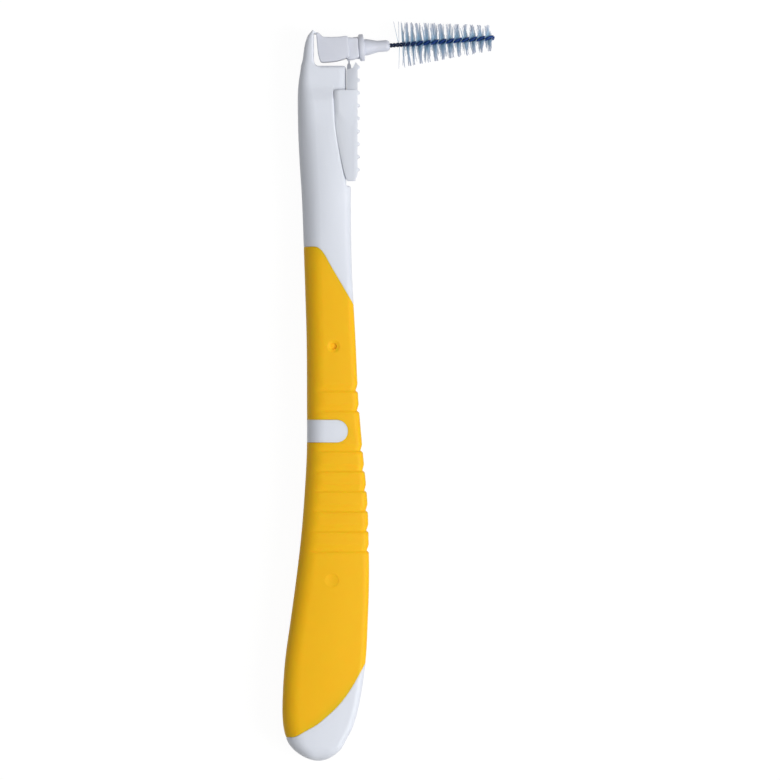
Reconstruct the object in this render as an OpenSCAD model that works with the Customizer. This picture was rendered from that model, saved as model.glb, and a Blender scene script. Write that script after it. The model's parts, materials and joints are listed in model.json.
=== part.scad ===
// Interdental brush with a thumb slider that tilts the head.
// It lies on its side: +Y runs up the handle to the head, +X is the side that the brush points to, and
// Z = 0 is the surface that the grip's flat side rests on. The origin is in the middle of that flat side.

/* [Handle] */
// Length of the handle, from the tail to the neck's top face
handle_l = 86.75; // [75:0.25:100]
// Width of the grip that the outline's shares follow
grip_w = 10.3; // [9:0.1:12]
// Thickness of the grip, between its flat sides
grip_t = 7.4; // [6.6:0.1:9]
// Thickness of the neck
neck_t = 5.6; // [5.2:0.1:6.4]
// Thickness of the neck's top end, under the slider's wings
crown_t = 4.6; // [4.2:0.1:5]
// Height of the thin arm above the neck's top face
arm_l = 4.44; // [4.2:0.02:5]
// Width of the arm at its root
arm_root_w = 1.59; // [1.4:0.01:2]
// Width of the arm at its tip
arm_tip_w = 0.2; // [0.16:0.01:0.4]
// Radius of the rounded back edges
back_round = 1.5; // [1:0.1:2]
// Radius of the rounded front edges
front_round = 0.6; // [0.4:0.1:1]
// Radius of the rounded tail, seen from the front
tail_round = 2.4; // [1.6:0.1:3]

/* [Grip] */
// Length of the yellow grip along its back edge
grip_l = 61.2; // [56:0.1:66]
// Length of bare tail below the grip at the back edge
tail_l = 2.95; // [1.5:0.05:4]
// Fall of the grip's upper edge, from back to front
head_fall = 7.1; // [4:0.1:10]
// Rise of the grip's lower edge, from back to front
foot_rise = 9.2; // [6:0.1:12]
// Thickness of the grip over the core
grip_cover = 1.4; // [1:0.1:2]
// Thickness of the core's spine inside the grip
spine_t = 3.6; // [3:0.1:4.4]
// Distance from the grip's upper edge to the first step
first_step = 18; // [16:0.5:20]
// Distance between steps
step_pitch = 2.5; // [2:0.1:2.8]
// Number of places for a step
step_count = 9; // [5:1:10]
// Place that the window takes instead of a step
window_place = 2; // [1:1:3]
// Depth of a step
step_depth = 0.2; // [0.1:0.05:0.4]
// Length of a step's slope
step_slope = 0.9; // [0.6:0.1:1.4]
// Height of the core's window in the grip
window_h = 2.8; // [2:0.1:3.4]
// Reach of the window from the back edge to its round end
window_reach = 5.1; // [4:0.1:6]
// Diameter of the gate dimple
dimple_d = 1.6; // [1:0.1:2]
// Diameter of the gate mark in the dimple
gate_d = 0.84; // [0.5:0.02:1]
// Diameter of the round mark on the lower grip
mark_d = 1.8; // [1:0.1:2.4]

/* [Holder] */
// Length of the holder's block from the tilt axis
block_l = 4.08; // [3.6:0.02:4.5]
// Gap between the block's underside and the neck's top face
block_gap = 0.38; // [0.24:0.02:0.5]
// Thickness of the block
block_t = 3.8; // [3.2:0.1:4.2]
// Thickness of the neck behind the flange
throat_t = 2.8; // [2.4:0.1:3.2]
// Rise of that neck's underside above the block's
throat_lift = 0.06; // [0.04:0.01:0.1]
// Length of the neck behind the flange
throat_l = 1.24; // [1.1:0.02:1.6]
// Diameter of the flange ring
flange_d = 3.38; // [3.2:0.02:3.8]
// Width of the flange ring
flange_w = 0.67; // [0.4:0.01:0.9]
// Diameter of the land that a cap seats on
land_d = 2.06; // [1.8:0.02:2.4]
// Length of the land
land_l = 0.45; // [0.3:0.05:0.8]
// Diameter of the nose
nose_d = 1.44; // [1.2:0.02:1.6]
// Length of the nose in front of the land
nose_l = 2.78; // [2.4:0.02:3.4]
// Length of the cone between land and nose
cone_l = 1.2; // [0.8:0.1:1.6]
// Depth of the brush axis below the tilt axis
axis_drop = 2.25; // [2:0.05:2.4]
// Angle that the brush rises above square to the handle
head_rise = 4.3; // [0:0.1:8]

/* [Mechanism] */
// Length of the strap between its two film hinges
strap_l = 4; // [3.6:0.1:4.6]
// Width of the strap
strap_w = 2.4; // [1.8:0.1:2.6]
// Thickness of the strap
strap_t = 0.5; // [0.3:0.02:0.54]
// Length of a film hinge
film_l = 0.4; // [0.3:0.02:0.5]
// Thickness of a film hinge
film_t = 0.2; // [0.14:0.02:0.28]
// Length of the slider's pad
pad_l = 14.75; // [13:0.25:17]
// Thickness of the slider's pad
pad_t = 0.56; // [0.4:0.02:0.8]
// Rise of the pad above the strap's foot
pad_rise = 3.9; // [3:0.1:4.4]
// Number of ridges on the pad
ridge_count = 9; // [5:1:9]
// Distance between ridges
ridge_pitch = 1.6; // [1.4:0.05:1.6]
// Height of a ridge
ridge_h = 0.3; // [0.15:0.05:0.5]
// Reach of the slider's wings behind the pad
wing_reach = 2.375; // [2:0.025:2.8]
// Thickness of a wing
wing_t = 0.5; // [0.35:0.05:0.6]
// Length of the slider's tongue
tongue_l = 6.5; // [5:0.25:8]
// Depth of the tongue in the neck
tongue_h = 0.85; // [0.6:0.05:1.2]
// Thickness of the tongue
tongue_t = 1.6; // [1.2:0.1:2]

/* [Brush] */
// Diameter of one leg of the wire
wire_d = 0.27; // [0.2:0.01:0.3]
// Length of one full twist of the wire
twist_l = 1.93; // [1.6:0.01:2.4]
// Length of wire held inside the nose
wire_hold = 5; // [3:0.5:6]
// Bare wire between nose and bristles
bare_l = 0.5; // [0.3:0.05:1]
// Length of the bristle part
brush_l = 12.3; // [10:0.1:14]
// Wire past the last bristles
wire_end = 0.35; // [0.3:0.05:0.8]
// Diameter of the bristle part at the holder
base_d = 6; // [4:0.1:6.2]
// Diameter of the bristle part at the tip
tip_d = 3.25; // [2:0.05:4]
// Number of filaments, each held at its middle
filament_count = 200; // [150:1:240]
// Thickness of a filament
filament_t = 0.05; // [0.03:0.005:0.05]

/* [Fits] */
// Gap between the core and the grip moulded round it
bond_gap = 0.02; // [0.01:0.005:0.05]
// Running gap between slider and neck
slide_gap = 0.1; // [0.06:0.01:0.15]
// Gap in front of the strap, where it swings
swing_gap = 0.25; // [0.15:0.05:0.4]
// Gap beside the strap in the pad's slot
slot_gap = 0.3; // [0.2:0.05:0.5]
// Gap between the wire and its bore
wire_gap = 0.015; // [0.01:0.005:0.03]
// Half the gap between the wire's two legs, where the filaments are held
nip = 0.04; // [0.035:0.005:0.06]

/* [Hidden] */
$fn = 48;
over = 1;
mid_z = grip_t / 2;

// Outline of the handle: place as a share of its length from the tail, then the back and front edge as
// shares of the grip's width
origin_share = 0.375;
edge_shares = [
    [0, -0.267, -0.146],
    [0.003, -0.335, -0.085],
    [0.009, -0.437, -0.012],
    [0.017, -0.522, 0.06],
    [0.029, -0.591, 0.119],
    [0.052, -0.64, 0.215],
    [0.086, -0.648, 0.29],
    [0.144, -0.617, 0.36],
    [0.202, -0.55, 0.386],
    [0.259, -0.485, 0.401],
    [0.317, -0.427, 0.396],
    [0.375, -0.386, 0.379],
    [0.444, -0.354, 0.325],
    [0.519, -0.352, 0.271],
    [0.605, -0.356, 0.237],
    [0.663, -0.37, 0.21],
    [0.72, -0.386, 0.189],
    [0.807, -0.413, 0.18],
    [0.865, -0.443, 0.18],
    [0.908, -0.459, 0.18],
    [0.965, -0.461, 0.18],
    [1, -0.424, 0.18]
];
// Grip's upper edge: place across the handle, then fall as a share of head_fall
head_edge_shares = [
    [0, 0], [0.26, 0], [0.36, 0.055], [0.46, 0.175], [0.55, 0.32], [0.65, 0.47], [0.84, 0.75], [1, 1]
];
// Grip's lower edge: place across the handle, then rise as a share of foot_rise
foot_edge_shares = [
    [0, 0], [0.13, 0.005], [0.2, 0.028], [0.28, 0.067], [0.48, 0.175], [0.6, 0.283], [0.7, 0.39], [0.78, 0.502],
    [0.84, 0.61], [0.89, 0.72], [0.935, 0.835], [1, 1]
];
// Place of the full grip thickness and of the neck's, as shares of the handle's length
full_grip_share = 0.58;
full_neck_share = 0.76;
// Back of the arm: place as a share of its height, then lean as a share of arm_lean
arm_back_shares = [
    [0, 0], [0.218, 0.174], [0.446, 0.264], [0.67, 0.41], [0.82, 0.58], [0.9, 0.74], [0.958, 0.92], [1, 1]
];
// Fillet at the arm's root: place as a share of the arm's height, then width as a share of arm_root_w
arm_fillet_shares = [[0, 0.31], [0.025, 0.2], [0.06, 0.1], [0.11, 0.04], [0.18, 0]];
fillet_end_share = arm_fillet_shares[len(arm_fillet_shares) - 1][0];
// Foot and top of the film hinge on the arm, as shares of the arm's height
arm_film_shares = [0.91, 0.985];
// Most of a section's width or half thickness that its rounded edges may take
back_limit_share = 0.4;
front_limit_share = 0.3;
depth_limit_share = 0.8;
// Start and length of the neck's slope to its thinner top end, as shares of the slider's wing
crown_start_share = 0.15;
crown_run_share = 0.22;
// Fullness of the rounded tail, and its loss of half thickness at the end as a share of tail_round
tail_full_share = 0.96;
tail_loss_share = 0.9;

tail_y = -origin_share * handle_l;
neck_y = tail_y + handle_l;
grip_foot_y = tail_y + tail_l;
grip_head_y = grip_foot_y + grip_l;

// Tilt axis of the holder, beside the arm's tip, and the strap's upper axis in the holder's own directions
arm_lean = arm_root_w - arm_tip_w;
arm_face_x = edge_at(1, 1) + arm_root_w;
film_set = film_l / 2 - film_t / 4;
tilt_x = arm_face_x + film_set;
tilt_y = neck_y + arm_l - film_l * 0.75;
block_h = tilt_y - neck_y - block_gap;
throat_h = block_h - throat_lift;
strap_place = [block_l - strap_t / 5, -throat_h - film_l / 2];
strap_x = tilt_x + strap_place[0] * cos(head_rise) - strap_place[1] * sin(head_rise);
strap_y = tilt_y + strap_place[0] * sin(head_rise) + strap_place[1] * cos(head_rise);
strap_foot_y = strap_y - strap_l;

// Swing to the straight pose, and what follows it
tilt_travel = 90 - head_rise;
strap_arm = norm(strap_place);
strap_bearing = atan2(strap_place[1], strap_place[0]) + head_rise;
straight_x = strap_arm * cos(strap_bearing + tilt_travel);
straight_y = strap_arm * sin(strap_bearing + tilt_travel);
strap_lean = asin((strap_x - tilt_x - straight_x) / strap_l);
slider_travel = straight_y - strap_l * cos(strap_lean) - (strap_foot_y - tilt_y);

// Slider, measured from the strap
recess_x = strap_x - strap_t / 2 - slide_gap;
pad_x = strap_x + strap_t / 2 + swing_gap;
pad_top_y = strap_foot_y + pad_rise;
pad_foot_y = pad_top_y - pad_l;
wing_top_y = strap_foot_y + film_l;
wing_l = wing_top_y - pad_foot_y;
pocket_floor = crown_t / 2;
wing_in = pocket_floor + slide_gap;
wing_out = wing_in + wing_t;
bridge_top_y = strap_foot_y - film_l / 2;
// Back edge of a wing: place as a share of its length from the top, then reach as a share of wing_reach
wing_back_shares = [
    [0, 0.96], [0.03, 1], [0.25, 0.96], [0.42, 0.9], [0.61, 0.76], [0.85, 0.53], [0.97, 0.38], [1, 0.3]
];
recess_run = slide_gap * 8;

echo(tilt = [tilt_x, tilt_y], strap = [strap_x, strap_y], travel = [tilt_travel, slider_travel, strap_lean]);

// Smooth curve through the rows of a table: column c at place s
function row_under(t, s, i = 0) = i >= len(t) - 2 || s < t[i + 1][0] ? i : row_under(t, s, i + 1);
function rise(t, i, j, c) = (t[j][c] - t[i][c]) / (t[j][0] - t[i][0]);
function slope_at(t, i, c) = rise(t, max(i - 1, 0), min(i + 1, len(t) - 1), c);
function curve_at(t, s, c) =
    let (i = row_under(t, s), h = t[i + 1][0] - t[i][0], u = (s - t[i][0]) / h, v = 1 - u)
    v * v * (1 + 2 * u) * t[i][c] + u * u * (3 - 2 * u) * t[i + 1][c]
    + u * v * v * h * slope_at(t, i, c) - u * u * v * h * slope_at(t, i + 1, c);
function smooth_step(s) = let (u = min(max(s, 0), 1)) u * u * (3 - 2 * u);
function mix(a, b, u) = a * (1 - u) + b * u;

// Edges and half thickness of the handle
function length_share(y) = (y - tail_y) / handle_l;
function edge_at(s, c) = curve_at(edge_shares, min(max(s, 0), 1), c) * grip_w;
function arm_share(y) = (y - neck_y) / arm_l;
function back_x(y) =
    y <= neck_y ? edge_at(length_share(y), 1)
    : edge_at(1, 1) + arm_lean * curve_at(arm_back_shares, arm_share(y), 1);
function front_x(y) = edge_at(length_share(y), 2);
function arm_x(y) =
    arm_face_x + arm_root_w * curve_at(arm_fillet_shares, min(arm_share(y), fillet_end_share), 1);
function tail_loss(y) =
    let (d = min((y - tail_y) / tail_round, 1))
    tail_loss_share * tail_round * (1 - sqrt(1 - (1 - d) * (1 - d) * tail_full_share));
function half_t(y) =
    let (neck = smooth_step((length_share(y) - full_grip_share) / (full_neck_share - full_grip_share)))
    let (crown = smooth_step(((y - wing_top_y) / wing_l + crown_start_share) / crown_run_share))
    mix(mix(grip_t, neck_t, neck), crown_t, crown) / 2 - tail_loss(y);

// Half of a cross section, from the back edge over the flat side to the front edge. Each entry is a kind
// of place and an angle or a share
back_steps = 4;
front_steps = 3;
flat_shares = [0.1, 0.2, 0.3, 0.41, 0.53, 0.66, 0.8, 0.92];
places = concat(
    [for (i = [0:back_steps]) ["back", 90 * i / back_steps]],
    [for (s = flat_shares) ["flat", s]],
    [for (i = [front_steps:-1:0]) ["front", 90 * i / front_steps]]
);
function place_x(p, b, f, rb, rf) =
    p[0] == "back" ? b + rb * (1 - cos(p[1]))
    : p[0] == "front" ? f - rf * (1 - cos(p[1]))
    : mix(b + rb, f - rf, p[1]);
function place_z(p, h, rb, rf) =
    p[0] == "back" ? h - rb * (1 - sin(p[1])) : p[0] == "front" ? h - rf * (1 - sin(p[1])) : h;
function across_share(p, w) = place_x(p, 0, w, back_round, front_round) / w;

// Rows of places: each row gives the height Y of every place, so a row may be level or follow an edge of
// the grip
function width_at(y) = front_x(y) - back_x(y);
head_w = width_at(grip_head_y - head_fall / 2);
foot_w = width_at(grip_foot_y + foot_rise / 2);
head_row = [
    for (p = places) grip_head_y - head_fall * curve_at(head_edge_shares, across_share(p, head_w), 1)
];
foot_row = [
    for (p = places) grip_foot_y + foot_rise * curve_at(foot_edge_shares, across_share(p, foot_w), 1)
];
function level_row(y) = [for (p = places) y];
function lift_row(row, d) = [for (y = row) y + d];
function rows_between(a, b, n) = [for (i = [0:n]) mix(a, b, i / n)];

// One point of the handle's skin. A step sinks the side and the front edge, from the second flat place on
function skin_point(i, y, front, sink) =
    let (b = back_x(y), w = front - b, h = half_t(y), s = i > back_steps + 1 ? sink : 0)
    let (rb = min(back_round, w * back_limit_share, h * depth_limit_share))
    let (rf = min(front_round, w * front_limit_share, h * depth_limit_share))
    [place_x(places[i], b, front - s, rb, rf), y, place_z(places[i], h - s, rb, rf)];

// Closed skin through rows. Each row is [heights, kind of front edge, sink]
function front_of(kind, y) =
    kind == "arm" ? arm_x(y) : kind == "recess" ? min(recess_x, front_x(y)) : front_x(y);
module skin(rows) {
    n = len(places);
    half = [
        for (r = rows) [for (i = [0:n - 1]) skin_point(i, r[0][i], front_of(r[1], r[0][i]), r[2])]
    ];
    ring = 2 * n;
    points = [
        for (h = half) each concat(
            [for (p = h) [p[0], p[1], mid_z + p[2]]],
            [for (i = [n - 1:-1:0]) [h[i][0], h[i][1], mid_z - h[i][2]]]
        )
    ];
    last = (len(rows) - 1) * ring;
    sides = [
        for (r = [0:len(rows) - 2], i = [0:ring - 1])
            let (a = r * ring + i, b = r * ring + (i + 1) % ring)
            each [[a, b, b + ring], [a, b + ring, a + ring]]
    ];
    ends = [
        for (i = [0:n - 2])
            let (a = i, b = i + 1, c = ring - 2 - i, d = ring - 1 - i)
            each [
                [a, d, c], [a, c, b],
                [last + a, last + c, last + d], [last + a, last + b, last + c]
            ]
    ];
    polyhedron(points, concat(sides, ends), convexity = 8);
}

// Rows of the grip: from its upper edge, over the steps, to its lower edge
head_level = grip_head_y - head_fall * 1.4;
foot_level = grip_foot_y + foot_rise * 1.3;
step_lead = step_depth / 8;
function step_y(i) = grip_head_y - first_step - i * step_pitch;
last_step_y = step_y(step_count - 1);
grip_rows = concat(
    [for (r = rows_between(lift_row(head_row, -bond_gap), level_row(head_level), 5)) [r, "plain", 0]],
    [[level_row(mix(head_level, step_y(0) + step_slope, 0.5)), "plain", 0]],
    [
        for (i = [0:step_count - 1]) if (i != window_place) each [
            [level_row(step_y(i) + step_slope), "plain", 0],
            [level_row(step_y(i) + step_lead), "plain", step_depth],
            [level_row(step_y(i)), "plain", 0]
        ]
    ],
    [for (u = [0.35, 0.7]) [level_row(mix(last_step_y, foot_level, u)), "plain", 0]],
    [for (r = rows_between(level_row(foot_level), lift_row(foot_row, bond_gap), 6)) [r, "plain", 0]]
);

// Rows of the neck and its arm, from the arm's tip down to the grip's upper edge
recess_foot_y = pad_foot_y - recess_run;
crown_round = front_round / 2;
bare_level = grip_head_y + head_fall / 4;
// Rows up the arm and down the recess, as shares of their heights, and the rounded edge between them: fall
// and loss of width and thickness as shares of its radius
arm_row_shares = [1, 0.96, 0.88, 0.79, 0.62, 0.45, 0.3, 0.18, 0.11, 0.06, 0.025, 0];
recess_row_shares = [0.06, 0.14, 0.22, 0.32, 0.44, 0.56, 0.68, 0.8, 0.9];
crown_row_shares = [[0.1, 0.6], [0.4, 0.2], [1, 0]];
neck_rows = concat(
    [for (u = arm_row_shares) [level_row(neck_y + u * arm_l), "arm", 0]],
    [for (c = crown_row_shares) [level_row(neck_y - c[0] * crown_round), "recess", c[1] * crown_round]],
    [for (u = recess_row_shares) [level_row(mix(neck_y, recess_foot_y, u)), "recess", 0]],
    [[level_row(recess_foot_y + step_depth), "recess", 0], [level_row(recess_foot_y), "plain", 0]],
    [for (u = [0.35, 0.7]) [level_row(mix(recess_foot_y, bare_level, u)), "plain", 0]],
    [for (r = rows_between(level_row(bare_level), head_row, 5)) [r, "plain", 0]]
);

// Rows of the tail, from the grip's lower edge to the end
tail_level = tail_y + tail_l * 0.62;
tail_row_shares = [0.7, 0.42, 0.2, 0.07, 0];
tail_rows = concat(
    [for (r = rows_between(foot_row, level_row(tail_level), 4)) [r, "plain", 0]],
    [for (u = tail_row_shares) [level_row(mix(tail_y, tail_level, u)), "plain", 0]]
);

// Rows of the blank that the window band is cut from
window_y = step_y(window_place);
window_row_shares = [1.6, 0.8, 0, -0.8, -1.6];
window_rows = [for (u = window_row_shares) [level_row(window_y + u * window_h), "plain", 0]];

// Outline of the core's spine, grown by g
spine_top_y = grip_head_y + grip_cover * 2;
spine_foot_y = tail_y + tail_l;
function spine_side(c, g) = [
    for (u = [0:0.0625:1]) let (y = mix(spine_foot_y, spine_top_y, u))
        [c == 1 ? back_x(y) + grip_cover - g : front_x(y) - grip_cover + g, y]
];
function reversed(v) = [for (i = [len(v) - 1:-1:0]) v[i]];
module spine(g) {
    translate([0, 0, mid_z - spine_t / 2 - g])
        linear_extrude(spine_t + 2 * g)
            polygon(concat(spine_side(2, g), reversed(spine_side(1, g))));
}

// Window through the grip, open at the back edge and round at the front, grown by g
module window_cut(g) {
    b = back_x(window_y);
    r = window_h / 2;
    translate([0, 0, -over])
        linear_extrude(grip_t + 2 * over) {
            translate([b - over, window_y - r - g])
                square([window_reach - r + over, window_h + 2 * g]);
            translate([b + window_reach - r, window_y])
                circle(r + g);
        }
}

// Back edge of a slider wing, from the top down, grown by g
function wing_back(g) = [
    for (s = wing_back_shares) [pad_x - wing_reach * s[1] - g, wing_top_y - wing_l * s[0]]
];

// Pocket in each side of the neck that a wing runs in, open at the top
module wing_pocket() {
    back = wing_back(slide_gap);
    top_y = wing_top_y + slider_travel;
    linear_extrude(grip_t)
        polygon(concat(
            [[back[1][0], top_y]],
            [for (i = [1:len(back) - 1]) back[i]],
            [
                [back[len(back) - 1][0] + wing_reach * 0.1, recess_foot_y],
                [pad_x + over, recess_foot_y],
                [pad_x + over, top_y]
            ]
        ));
}

// Channel in the neck's front that the slider's tongue runs in
tongue_foot_y = pad_foot_y + wing_l * 0.1;
module tongue_channel() {
    t = tongue_t + 2 * slide_gap;
    translate([recess_x - tongue_h - slide_gap, tongue_foot_y - slide_gap, mid_z - t / 2])
        cube([tongue_h + slide_gap + over, neck_y - tongue_foot_y + over, t]);
}

module handle_core() {
    color("ghostwhite") {
        difference() {
            skin(neck_rows);
            translate([0, 0, mid_z + pocket_floor])
                wing_pocket();
            translate([0, 0, mid_z - pocket_floor - grip_t])
                wing_pocket();
            tongue_channel();
        }
        skin(tail_rows);
        spine(0);
        intersection() {
            skin(window_rows);
            window_cut(0);
        }
    }
}

// Gate dimple and round mark on the grip's upper side
dimple_y = grip_head_y - first_step * 0.69;
dimple_x = mix(back_x(dimple_y), front_x(dimple_y), 0.55);
mark_y = last_step_y - step_pitch * 1.45;
mark_x = mix(back_x(mark_y), front_x(mark_y), 0.49);
dimple_depth = dimple_d / 14;
module grip_marks() {
    translate([dimple_x, dimple_y, grip_t - dimple_depth])
        cylinder(h = over, d = dimple_d);
    translate([dimple_x, dimple_y, grip_t - 2 * dimple_depth])
        cylinder(h = over, d = gate_d);
    translate([mark_x, mark_y, grip_t - dimple_depth / 2])
        cylinder(h = over, d = mark_d);
}

module grip_overmould() {
    color("goldenrod")
        difference() {
            skin(grip_rows);
            spine(bond_gap);
            window_cut(bond_gap);
            grip_marks();
        }
}

// A point given in the holder's own directions, in the part's frame
function from_holder(p) = [
    tilt_x + p[0] * cos(head_rise) - p[1] * sin(head_rise),
    tilt_y + p[0] * sin(head_rise) + p[1] * cos(head_rise)
];

// Flat plate of thickness t, centred in Z, from an outline
module plate(outline, t) {
    translate([0, 0, mid_z - t / 2])
        linear_extrude(t)
            polygon(outline);
}

// Side outline of the holder's block: length and depth from the tilt axis, as shares of block_l and block_h
block_shares = [
    [0.035, -0.015], [0.1, 0], [0.16, 0.06], [0.212, 0.129], [0.26, 0.155], [0.5, 0.183], [0.72, 0.193],
    [0.9, 0.182], [0.965, 0.181], [1, 0.2], [1, 0.88], [0.9, 0.917], [0.83, 0.937], [0.75, 0.96],
    [0.69, 0.975], [0.6, 0.99], [0.5, 1], [0.17, 1], [0.13, 0.985], [0.1, 0.955], [0.07, 0.86],
    [0.045, 0.7], [0.035, 0.05]
];
// Neck behind the flange: length past the block as a share of throat_l, depth as a share of throat_h
throat_shares = [
    [-0.3, 0.214], [0.2, 0.24], [1, 0.283], [1, 0.925], [0.35, 1], [-0.2, 1], [-0.3, 0.97]
];
// Rounded end of the nose: place as a share of its radius, then diameter as a share of nose_d
nose_end_shares = [[0, 1], [0.35, 0.84], [0.6, 0.56]];
flange_x = block_l + throat_l;
nose_x = flange_x + flange_w;
tip_x = nose_x + land_l + nose_l;
nose_end_x = tip_x - nose_d / 2 * nose_end_shares[len(nose_end_shares) - 1][0];

// Moves what follows to the tilt axis, with +X along the brush
module at_holder() {
    translate([tilt_x, tilt_y, mid_z])
        rotate([0, 0, head_rise])
            children();
}

// Moves what follows on to the brush axis, with +Z along the brush
module along_brush(x) {
    at_holder()
        translate([x, -axis_drop, 0])
            rotate([0, 90, 0])
                children();
}

module brush_holder() {
    bore_d = 2 * (wire_d + nip + wire_gap);
    color("aliceblue")
        difference() {
            union() {
                plate([for (s = block_shares) from_holder([s[0] * block_l, -s[1] * block_h])], block_t);
                plate([
                    for (s = throat_shares) from_holder([block_l + s[0] * throat_l, -s[1] * throat_h])
                ], throat_t);
                along_brush(flange_x - flange_w)
                    cylinder(h = 2 * flange_w, d = throat_t);
                along_brush(flange_x)
                    cylinder(h = flange_w, d = flange_d);
                along_brush(nose_x - flange_w / 2)
                    cylinder(h = flange_w / 2 + land_l, d = land_d);
                along_brush(nose_x + land_l)
                    cylinder(h = cone_l, d1 = land_d, d2 = nose_d);
                along_brush(nose_x + land_l + cone_l)
                    cylinder(h = nose_end_x - nose_x - land_l - cone_l, d = nose_d);
                for (i = [0:len(nose_end_shares) - 2]) {
                    a = nose_end_shares[i];
                    b = nose_end_shares[i + 1];
                    along_brush(nose_end_x + a[0] * nose_d / 2)
                        cylinder(h = (b[0] - a[0]) * nose_d / 2, d1 = nose_d * a[1], d2 = nose_d * b[1]);
                }
            }
            along_brush(tip_x - wire_hold)
                cylinder(h = wire_hold + over, d = bore_d);
        }
}

// Film hinge between the arm's tip and the holder's corner
module tip_film_hinge() {
    corner = [
        for (s = [block_shares[0], block_shares[len(block_shares) - 1]])
            from_holder([s[0] * block_l, -s[1] * block_h])
    ];
    color("ghostwhite")
        plate([
            [arm_face_x, neck_y + arm_l * arm_film_shares[1]],
            corner[0],
            corner[1],
            [arm_face_x, neck_y + arm_l * arm_film_shares[0]]
        ], block_t);
}

// Film hinge between the holder's neck and the strap
module strap_film_hinge() {
    top = [for (s = [-1, 1]) from_holder([strap_place[0] + s * film_t / 2, -throat_h])];
    color("ghostwhite")
        plate([
            top[0],
            top[1],
            [strap_x + film_t / 2, strap_y - film_l / 2],
            [strap_x - film_t / 2, strap_y - film_l / 2]
        ], strap_w);
}

// Strap, thicker between its two film hinges
module link_strap() {
    low = strap_foot_y + film_l / 2;
    high = strap_y - film_l / 2;
    bevel = strap_t / 2;
    color("ghostwhite")
        plate([
            [strap_x - film_t / 2, low],
            [strap_x + film_t / 2, low],
            [strap_x + strap_t / 2, low + bevel],
            [strap_x + strap_t / 2, high - bevel],
            [strap_x + film_t / 2, high],
            [strap_x - film_t / 2, high],
            [strap_x - strap_t / 2, high - bevel],
            [strap_x - strap_t / 2, low + bevel]
        ], strap_w);
}

// Film hinge between the strap's foot and the slider
module foot_film_hinge() {
    color("ghostwhite")
        translate([strap_x - film_t / 2, strap_foot_y - film_l / 2, mid_z - strap_w / 2])
            cube([film_t, film_l, strap_w]);
}

// Outline of the slider's pad, with its pointed ridges down the front, and a bevel behind its top end that
// the holder's block swings past
pad_front_x = pad_x + pad_t;
first_ridge_y = pad_top_y - ridge_pitch * 0.36;
ridge_foot = ridge_h * 0.8;
pad_bevel_t = pad_t * 0.6;
pad_bevel_l = pad_t * 1.2;
pad_outline = concat(
    [
        [pad_x, pad_foot_y + pad_t * 0.1],
        [pad_x, pad_top_y - pad_bevel_l],
        [pad_x + pad_bevel_t, pad_top_y],
        [pad_front_x, first_ridge_y + ridge_foot]
    ],
    [
        for (i = [0:ridge_count - 1]) let (y = first_ridge_y - i * ridge_pitch) each [
            [pad_front_x, y + ridge_foot],
            [pad_front_x + ridge_h, y + ridge_h * 0.1],
            [pad_front_x + ridge_h, y - ridge_h * 0.1],
            [pad_front_x, y - ridge_foot]
        ]
    ],
    [
        for (a = [0:15:75])
            [pad_x + pad_t * cos(a), pad_foot_y + pad_t * 2 - pad_t * 2 * sin(a)]
    ]
);
wing_outline = concat(
    wing_back(0),
    [[pad_x + pad_t / 2, pad_foot_y], [pad_x + pad_t / 2, wing_top_y]]
);
module thumb_slider() {
    slot_w = strap_w + 2 * slot_gap;
    bridge_x = recess_x + slide_gap;
    bridge_foot_y = pad_foot_y + wing_l * 0.06;
    color("ghostwhite")
        difference() {
            union() {
                plate(pad_outline, 2 * wing_out);
                for (s = [-1, 1])
                    translate([0, 0, s * (wing_in + wing_t / 2)])
                        plate(wing_outline, wing_t);
                translate([bridge_x, bridge_foot_y, mid_z - wing_out])
                    cube([pad_x + pad_t / 2 - bridge_x, bridge_top_y - bridge_foot_y, 2 * wing_out]);
                translate([bridge_x - tongue_h, tongue_foot_y, mid_z - tongue_t / 2])
                    cube([tongue_h + pad_t / 2, tongue_l, tongue_t]);
            }
            translate([pad_x - over, bridge_top_y, mid_z - slot_w / 2])
                cube([pad_t + ridge_h + 2 * over, pad_rise + film_l + over, slot_w]);
        }
}

// Path of the folded wire along the brush axis: down one leg, round the loop at the tip, and back up the
// other
wire_r = wire_d / 2;
leg_r = wire_r + nip;
wire_foot = tip_x - wire_hold + wire_gap + wire_r;
brush_x = tip_x + bare_l;
wire_tip = brush_x + brush_l + wire_end;
loop_x = wire_tip - leg_r - wire_r;
wire_turns = (loop_x - wire_foot) / twist_l;
rings_per_turn = 10;
leg_rings = ceil(wire_turns * rings_per_turn);
loop_rings = 6;
function leg_point(x, side) =
    let (a = 360 * (loop_x - x) / twist_l)
    [x, side * leg_r * cos(a), side * leg_r * sin(a)];
wire_path = concat(
    [for (i = [0:leg_rings]) leg_point(mix(wire_foot, loop_x, i / leg_rings), 1)],
    [
        for (i = [1:loop_rings - 1])
            let (a = 180 * i / loop_rings)
            [loop_x + leg_r * sin(a), leg_r * cos(a), 0]
    ],
    [for (i = [0:leg_rings]) leg_point(mix(loop_x, wire_foot, i / leg_rings), -1)]
);

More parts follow.
